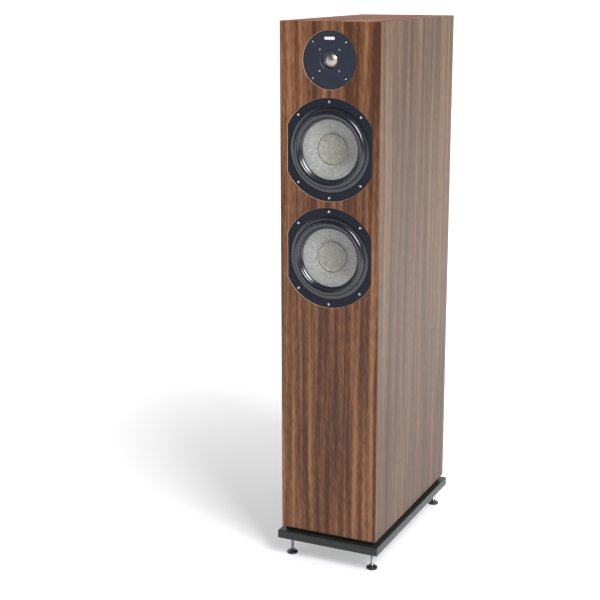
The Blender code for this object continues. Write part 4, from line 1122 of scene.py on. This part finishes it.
woofer_screw = socket_screw(*mm(2.4, 2.55, 0.55, 1.1))
ledge = eased(mm((46, 35.2), (58, 35.2), (57, 38), (46, 38)), 0.3 * MM)
for woofer, z in WOOFERS.items():
    moving = f"{woofer}_moving_parts"
    placed = laid(flange, lambda p: on_front(p, z))
    belongs(mesh_of(f"{woofer}_flange", placed, [CAST_BLACK]), "enclosure", "cast_black", f"{woofer}_basket")
    screws(f"{woofer}_screws", woofer_screw, spots, lambda p: on_front(p, z), SCREW_STEEL)

    wall = round_mesh(f"{woofer}_bowl", on_front(bowl, z), CAST_BLACK)
    work = bmesh.new()
    work.from_mesh(wall.data)
    work.faces.ensure_lookup_table()
    bmesh.ops.delete(work, geom=[work.faces[k] for k in np.flatnonzero(in_window.ravel())], context="FACES")
    work.to_mesh(wall.data)
    work.free()
    thick = wall.modifiers.new("casting", "SOLIDIFY")
    thick.thickness, thick.offset = 3 * MM, 0
    belongs(wall, "enclosure", "cast_black", f"{woofer}_basket")
    turned_piece(f"{woofer}_ledge", ledge, z, CAST_BLACK, "enclosure", "cast_black", f"{woofer}_basket")

    soft = turned_piece(f"{woofer}_rubber_surround", surround_profile, z, RUBBER, None, "rubber", sides=144)
    flexes(soft, moving, f"{woofer}_surround")
    turned_piece(f"{woofer}_woven_cone", cone_profile, z, CONE_FIBRE, moving, "woven_fibre",
                 f"{woofer}_cone", sides=144)
    turned_piece(f"{woofer}_woven_cap", cap_profile, z, CAP_FIBRE, moving, "woven_fibre",
                 f"{woofer}_dust_cap")
    soft = turned_piece(f"{woofer}_waved_spider", spider_profile, z, SPIDER_CLOTH, None, "spider_cloth")
    flexes(soft, moving, f"{woofer}_spider")
    turned_piece(f"{woofer}_coil", coil_profile, z, COPPER, moving, "copper",
                 f"{woofer}_voice_coil", sides=64)
    for part_name, (profile, look, slot) in MOTOR.items():
        ease = 0.25 if part_name == "gasket" else 0.8
        turned_piece(f"{woofer}_{part_name}_ring", eased(mm(*profile), ease * MM), z, look,
                     "enclosure", slot, f"{woofer}_{part_name}")

# %% [markdown]
# ## Tweeter
# A round satin plate with a soft edge, eight small screws and a short flared mouth. The dome is
# thin polished metal on a narrow rubber roll. The plate's face has cells for the screws like the
# woofer's flange, this time in two rings.

# %% Tweeter plate
PLATE_FACE, BETWEEN_RINGS, OUTER_RING, INNER_RING = mm(0.4, 34, 44, 25.7)
plate_profile = eased(mm((49.8, 0.4), (49.8, 4), (16.4, 4), (16.4, 2.2), (18.5, 0.4)),
                      mm(1.1, 0.3, 0.2, 0.5, 0.9))[:-1]
degrees = [-36, 36, 54, 126, 144, 216, 234, 306, 324]
angle_cells = along(np.radians(degrees), [24, 6] * 4)
plate_angles = np.unique(np.concatenate(angle_cells).round(9))[:-1]
DIAGONALS = (45, 135, 225, 315)
outer_spots, inner_spots = spots_on(OUTER_RING, DIAGONALS), spots_on(INNER_RING, DIAGONALS)
big_bore = mm((3.65, 0.4), (3.4, 0.65), (3.4, 2.6), (0, 2.6))
small_bore = mm((2.5, 0.4), (2.3, 0.6), (2.3, 2.2), (0, 2.2))
holes = {(i, 0): (spot, small_bore) for i, spot in zip((1, 3, 5, 7), inner_spots)}
holes |= {(i, 1): (spot, big_bore) for i, spot in zip((1, 3, 5, 7), outer_spots)}
plate = pierced(angle_cells, along([plate_profile[-1, 0], BETWEEN_RINGS, plate_profile[0, 0]], [6, 6]),
                lambda a, r: stacked(r * np.cos(a), r * np.sin(a)), PLATE_FACE, holes)
plate.append((turn(plate_profile, plate_angles), True, 0))


def at_tweeter(points):
    return on_front(points, TWEETER_Z)


belongs(mesh_of("tweeter_plate", laid(plate, at_tweeter), [SATIN_BLACK]),
        "enclosure", "satin_black", "tweeter_faceplate")
large_screw, small_screw = socket_screw(*mm(2.0, 2.55, 0.6, 0.9)), socket_screw(*mm(1.7, 2.15, 0.7, 0.75))
screws("tweeter_mounting_screws", large_screw, outer_spots, at_tweeter, SCREW_STEEL)
screws("tweeter_chassis_screws", small_screw, inner_spots, at_tweeter, SCREW_STEEL)

# %% Dome, roll, coil and magnet of the tweeter
share = np.linspace(0, 1, 20)
outside = stacked(12.4 * MM * share, 5.4 * MM - 5.2 * MM * (1 - share ** 2))
inside = outside[::-1] * [0.968, 1] + [0, 0.4 * MM]
turned_piece("tweeter_metal_dome", np.concatenate([outside, inside]), TWEETER_Z, DOME_METAL,
             "tweeter_moving_parts", "dome_metal", "tweeter_dome")
small_roll = shell(half_roll(*mm(15.05, 2.35, 5.6, 1.4), 14), 0.4 * MM)
soft = turned_piece("tweeter_soft_roll", small_roll, TWEETER_Z, RUBBER, None, "rubber")
flexes(soft, "tweeter_moving_parts", "tweeter_surround")
TWEETER_PARTS = {
    "voice_coil": ([(12.1, 6.1), (12.6, 6.1), (12.6, 11.5), (12.1, 11.5)], COPPER, "copper",
                   "tweeter_moving_parts", 0.1),
    "top_plate": ([(13.2, 6.5), (36, 6.5), (36, 10.5), (13.2, 10.5)], STEEL, "steel", "enclosure", 0.5),
    "magnet": ([(18, 10.8), (36, 10.8), (36, 24), (18, 24)], FERRITE, "ferrite", "enclosure", 0.8),
}
for part_name, (profile, look, slot, body, ease) in TWEETER_PARTS.items():
    turned_piece(f"tweeter_{part_name}_ring", eased(mm(*profile), ease * MM), TWEETER_Z, look,
                 body, slot, f"tweeter_{part_name}", sides=64)
yoke = eased(mm((0, 7), (11.5, 7), (11.5, 24.3), (34, 24.3), (34, 29), (0, 29)), 0.5 * MM, closed=False)
turned_piece("tweeter_yoke_cup", yoke, TWEETER_Z, STEEL, "enclosure", "steel", "tweeter_yoke", sides=64)

# %% [markdown]
# ## Badge
# A small plain pill of brushed silver near the top of the tweeter's plate, with nothing on it.

# %% Badge
BADGE_UP = 36.8 * MM
badge_profile = mm((2.5, 0.35), (0.1, 0.35), (0, 0.2), (0, -0.05), (0.12, -0.2), (0.3, -0.25), (0.5, -0.26),
                   (2.5, -0.26))
badge = carried_round(badge_profile, *mm(10, 2.5, 2.5), 10)
belongs(round_mesh("tweeter_badge", on_front(badge, TWEETER_Z + BADGE_UP), BADGE_SILVER),
        "enclosure", "steel")

# %% [markdown]
# ## Port
# Air leaves through a moulded tube whose ends flare like a trumpet, so that it doesn't chuff.
# Its flange is held by four screws.

# %% Port tube and its screws
PORT_BORE, FLARE, LIP, PORT_LENGTH, PORT_WALL, PORT_SCREW_RING = mm(27, 9, 2.4, 135, 2.5, 39.4)
a = np.linspace(0, np.pi / 2, 12)
mouth = stacked(PORT_BORE + FLARE * (1 - np.sin(a)), LIP - FLARE * (1 - np.cos(a)))
inner_end = stacked(PORT_BORE + FLARE * (1 - np.cos(a)), FLARE * (1 - np.sin(a)) - PORT_LENGTH)
rear, a = FLARE - PORT_WALL, a[::-1]
behind = stacked(PORT_BORE + FLARE - rear * np.cos(a), FLARE - PORT_LENGTH - rear * np.sin(a))
rest = mm((29.5, -12), (33.5, -6), (33.5, 0.3), (43, 0.3), (43, 1.6), (42.8, 2.1), (42.5, 2.33), (42.1, 2.4),
          (41.8, 2.4), (36.3, 2.4), (36, 2.4))
port = np.concatenate([mouth, inner_end, behind, rest])
belongs(round_mesh("port_flared_tube", on_back(turn(port, all_round(112)), PORT_Z), MOULDED),
        "enclosure", "moulded", "port_tube")


def pan_head(radius, seat, rise, apothem):
    """A domed screw head standing on a seat, with a hexagon socket."""
    head = socket_screw(radius, 0, -rise, apothem)
    head[..., 2] = seat - head[..., 2]
    return head


back_screw = pan_head(*mm(2.7, 2.35, 1.5, 1.1))
port_spots = spots_on(PORT_SCREW_RING, DIAGONALS)
screws("port_screws", back_screw, port_spots, lambda p: on_back(p, PORT_Z), BLACK_SCREW)

# %% [markdown]
# ## Terminal cup
# A dished plate: rows of rounded rectangles that go from the middle of the recess's floor, up its
# drafted wall, over the flange and back under it. Each row is (half width, half height, corner
# radius, height), and easing the four numbers together rounds the edges.

# %% Terminal cup and its screws
cup_rows = eased(mm((9, 0, 0, -23), (31, 22, 7, -23), (33, 24, 9, 2.4), (48, 38, 9, 2.4), (48, 38, 9, 0.3),
                    (35.5, 26.5, 9, 0.3), (33.5, 24.5, 7, -25.5), (9, 0, 0, -25.5)),
                 mm(0, 2.2, 0.9, 0.8, 0.2, 0.2, 1, 0), closed=False)
cup = np.stack([with_depth(rectangle(half_a, half_b, corner, 8), height)
                for half_a, half_b, corner, height in cup_rows])
belongs(round_mesh("terminal_dish", on_back(cup, CUP_Z), MOULDED), "enclosure", "moulded", "terminal_cup")
cup_spots = mm((-42, -32), (-42, 32), (42, -32), (42, 32))
screws("terminal_screws", back_screw, cup_spots, lambda p: on_back(p, CUP_Z), BLACK_SCREW)

# %% [markdown]
# ## Binding posts
# A gilt threaded post with a socket in its end, a washer that clamps the wire, and a fluted knob.
# The knob's reach is its profile's radius less a small cosine of the angle, eighteen to the turn.

# %% Posts, washers and knobs
CUP_FLOOR = BACK - 23 * MM
post_start = eased(mm((0, -14), (3, -14), (3, 0.3), (7, 0.3), (7, 3.2), (2.8, 3.2)), 0.4 * MM, closed=False)
post_thread = threaded(*mm(3, 3.2, 19.5, 1.25, 0.35), THREAD_SIDES, tip=0.6 * MM)
post_end = mm((2.15, 19.5), (2.05, 19.4), (2.05, 4), (0, 4))
post = np.concatenate([turn(post_start, THREAD_SIDES), post_thread, turn(post_end, THREAD_SIDES)])
washer = eased(mm((3.45, 3.5), (6, 3.5), (6, 4.7), (3.45, 4.7)), 0.25 * MM)
knob_rows = np.concatenate([
    eased(mm((3.45, 5), (7.2, 5), (7.2, 9), (6.3, 10)), 0.35 * MM, closed=False),
    stacked(6.3, np.linspace(10.6, 19.6, 6)) * MM,
    mm((6.25, 20.3), (6.0, 20.75), (5.6, 21), (5.2, 21), (3.9, 21), (3.45, 20.6), (3.45, 5))])
FLUTES, FLUTE_DEPTH, GRIP_LOW, GRIP_HIGH, GRIP_FADE = 18, *mm(0.42, 10, 20.75, 0.6)
knob_angles = all_round(144)
height = knob_rows[:, 1:]
on_grip = np.clip(np.minimum(height - GRIP_LOW, GRIP_HIGH - height) / GRIP_FADE, 0, 1)
on_grip = on_grip * (knob_rows[:, :1] > 5.9 * MM)
knob_reach = knob_rows[:, :1] - FLUTE_DEPTH * on_grip * (0.5 + 0.5 * np.cos(FLUTES * knob_angles)) ** 0.7
knob = around(knob_reach, knob_angles, height)
for pole, look, slot in (("positive", KNOB_RED, "knob_red"), ("negative", KNOB_BLACK, "knob_black")):
    x = middle(f"{pole}_post").x
    for label, grid, finish, body, kind in (
            ("post_gilt", post, GOLD, "enclosure", "gold"),
            ("washer_gilt", turn(washer, all_round(64)), GOLD, f"{pole}_clamp_washer", "gold"),
            ("knob_fluted", knob, look, f"{pole}_clamp_knob", slot)):
        shape = on_back(grid, CUP_Z, x, CUP_FLOOR)
        belongs(round_mesh(f"{pole}_{label}", shape, finish), body, kind, f"{pole}_{label.split('_')[0]}")

# %% [markdown]
# ## CAD solids that stay
# Inside the cabinet the braces, the filter and the wiring are right as the CAD has them. Each
# takes a finish in place of its plain colour.

# %% Finishes for the CAD solids that stay
STAYING = {"upper_brace": RAW_BOARD, "lower_brace": RAW_BOARD, "plinth_spacer": PAINTED_BLACK,
           "crossover_board": BOARD_GREEN, "crossover_inductor": COPPER, "crossover_capacitor_1": FILM_YELLOW,
           "crossover_capacitor_2": FILM_YELLOW, "crossover_resistor": CEMENT, "wiring_loom": LEAD_BLACK}
for node, look in STAYING.items():
    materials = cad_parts[node].data.materials
    materials.clear()
    materials.append(look)
print("CAD solids with a finish:", len(STAYING))

# %% [markdown]
# ## Fleece pad
# The damping pad is a block of loose polyester fleece, glued to the inside of the right wall. It
# is soft, so it gets a cloth simulation: a slightly smaller pillow is remeshed evenly, blown up
# a little by pressure with gravity off, and kept from swelling far. It is then fitted to the space
# it has, flat against the wall, and rows of tufts and small waves loosen its face.

# %% The pad before it swells
pad_low, pad_high = (np.array(corner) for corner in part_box("damping_wadding"))
pad_middle, pad_half = (pad_low + pad_high) / 2, (pad_high - pad_low) / 2
PAD_SPARE, PAD_CAP, PAD_AIR = mm(2.5, 0.5, 0.5), 5 * MM, 0.3 * MM


def pillow(half, corner):
    """Rounded slab: the profile (inset, depth) of an ellipse's edge carried round a rectangle."""
    a = np.linspace(0, np.pi, 13)
    edge = stacked(half[0] * (1 - np.sin(a)), -half[0] * np.cos(a))
    closing = min(half[1], half[2])
    rows = np.concatenate([[(closing, -half[0])], edge, [(closing, half[0])]])
    return carried_round(rows, half[1], half[2], corner, 8)


small_half = pad_half - PAD_SPARE
grid = pillow(small_half, 18 * MM)
pad = round_mesh("fleece_pad", stacked(grid[..., 2], grid[..., 0], grid[..., 1]) + pad_middle, FLEECE)
print("pad starts at", (small_half * 2 / MM).round(1), "mm")


# %% Let it swell, then tuft it
def move_points(piece, points):
    piece.data.vertices.foreach_set("co", points.astype(np.float32).ravel())


def apply_all(piece):
    """Turns the piece's modified shape into its mesh and takes the modifiers off."""
    shaped = bpy.data.meshes.new_from_object(piece.evaluated_get(bpy.context.evaluated_depsgraph_get()))
    piece.modifiers.clear()
    piece.data = shaped


remesh = pad.modifiers.new("even_mesh", "REMESH")
remesh.mode, remesh.voxel_size = "VOXEL", 6 * MM
apply_all(pad)
start = points_of(pad).astype(float)
cloth = pad.modifiers.new("swell", "CLOTH")
cloth.settings.use_pressure = True
cloth.settings.uniform_pressure_force = 4
cloth.settings.effector_weights.gravity = 0
for frame_number in range(1, 21):
    bpy.context.scene.frame_set(frame_number)
apply_all(pad)
moved = points_of(pad) - start
length = np.maximum(np.linalg.norm(moved, axis=1, keepdims=True), 1e-9)
move_points(pad, start + moved / length * np.minimum(length, PAD_CAP))
bpy.context.scene.frame_set(1)
print("pad swelled by up to", round(float(length.max() / MM), 1), "mm")
smooth = pad.modifiers.new("finer", "SUBSURF")
smooth.levels = smooth.render_levels = 1
apply_all(pad)
co = points_of(pad).astype(float)
TUFT_PITCH, TUFT_DEPTH, LOOSE = mm(77, 5, 0.8)
CLOSER, TUFT_SHARP = 0.78, 60
across = np.mod((co[:, 1] - pad_middle[1]) / (TUFT_PITCH * CLOSER), 1) - 0.5
upward = np.mod((co[:, 2] - pad_middle[2]) / TUFT_PITCH, 1) - 0.5
tuft = np.exp(-((across * CLOSER) ** 2 + upward ** 2) * TUFT_SHARP)
loose = (np.sin(co[:, 1] * 310 + 1.3 * np.sin(co[:, 2] * 170))
         * np.sin(co[:, 2] * 260 + np.sin(co[:, 1] * 190)))
room_half = pad_half - PAD_AIR
spread_now = np.ptp(co[:, 1:], axis=0) / 2
co[:, 1:] = pad_middle[1:] + (co[:, 1:] - co[:, 1:].mean(axis=0)) * room_half[1:] / spread_now
wall_x = pad_high[0] - PAD_AIR
thick = np.maximum(wall_x - co[:, 0], 0)
face_side = np.clip(thick / (2 * room_half[0]) * 1.4 - 0.3, 0, 1)
thick *= min(1, (2 * room_half[0] - 2 * LOOSE) / thick.max())
co[:, 0] = wall_x - thick + face_side * (TUFT_DEPTH * tuft + LOOSE * loose)
move_points(pad, np.clip(co, pad_middle - room_half, pad_middle + room_half))
pad.data.shade_smooth()
pad.data.materials.clear()
pad.data.materials.append(FLEECE)
belongs(pad, "enclosure", "fleece", "damping_wadding")
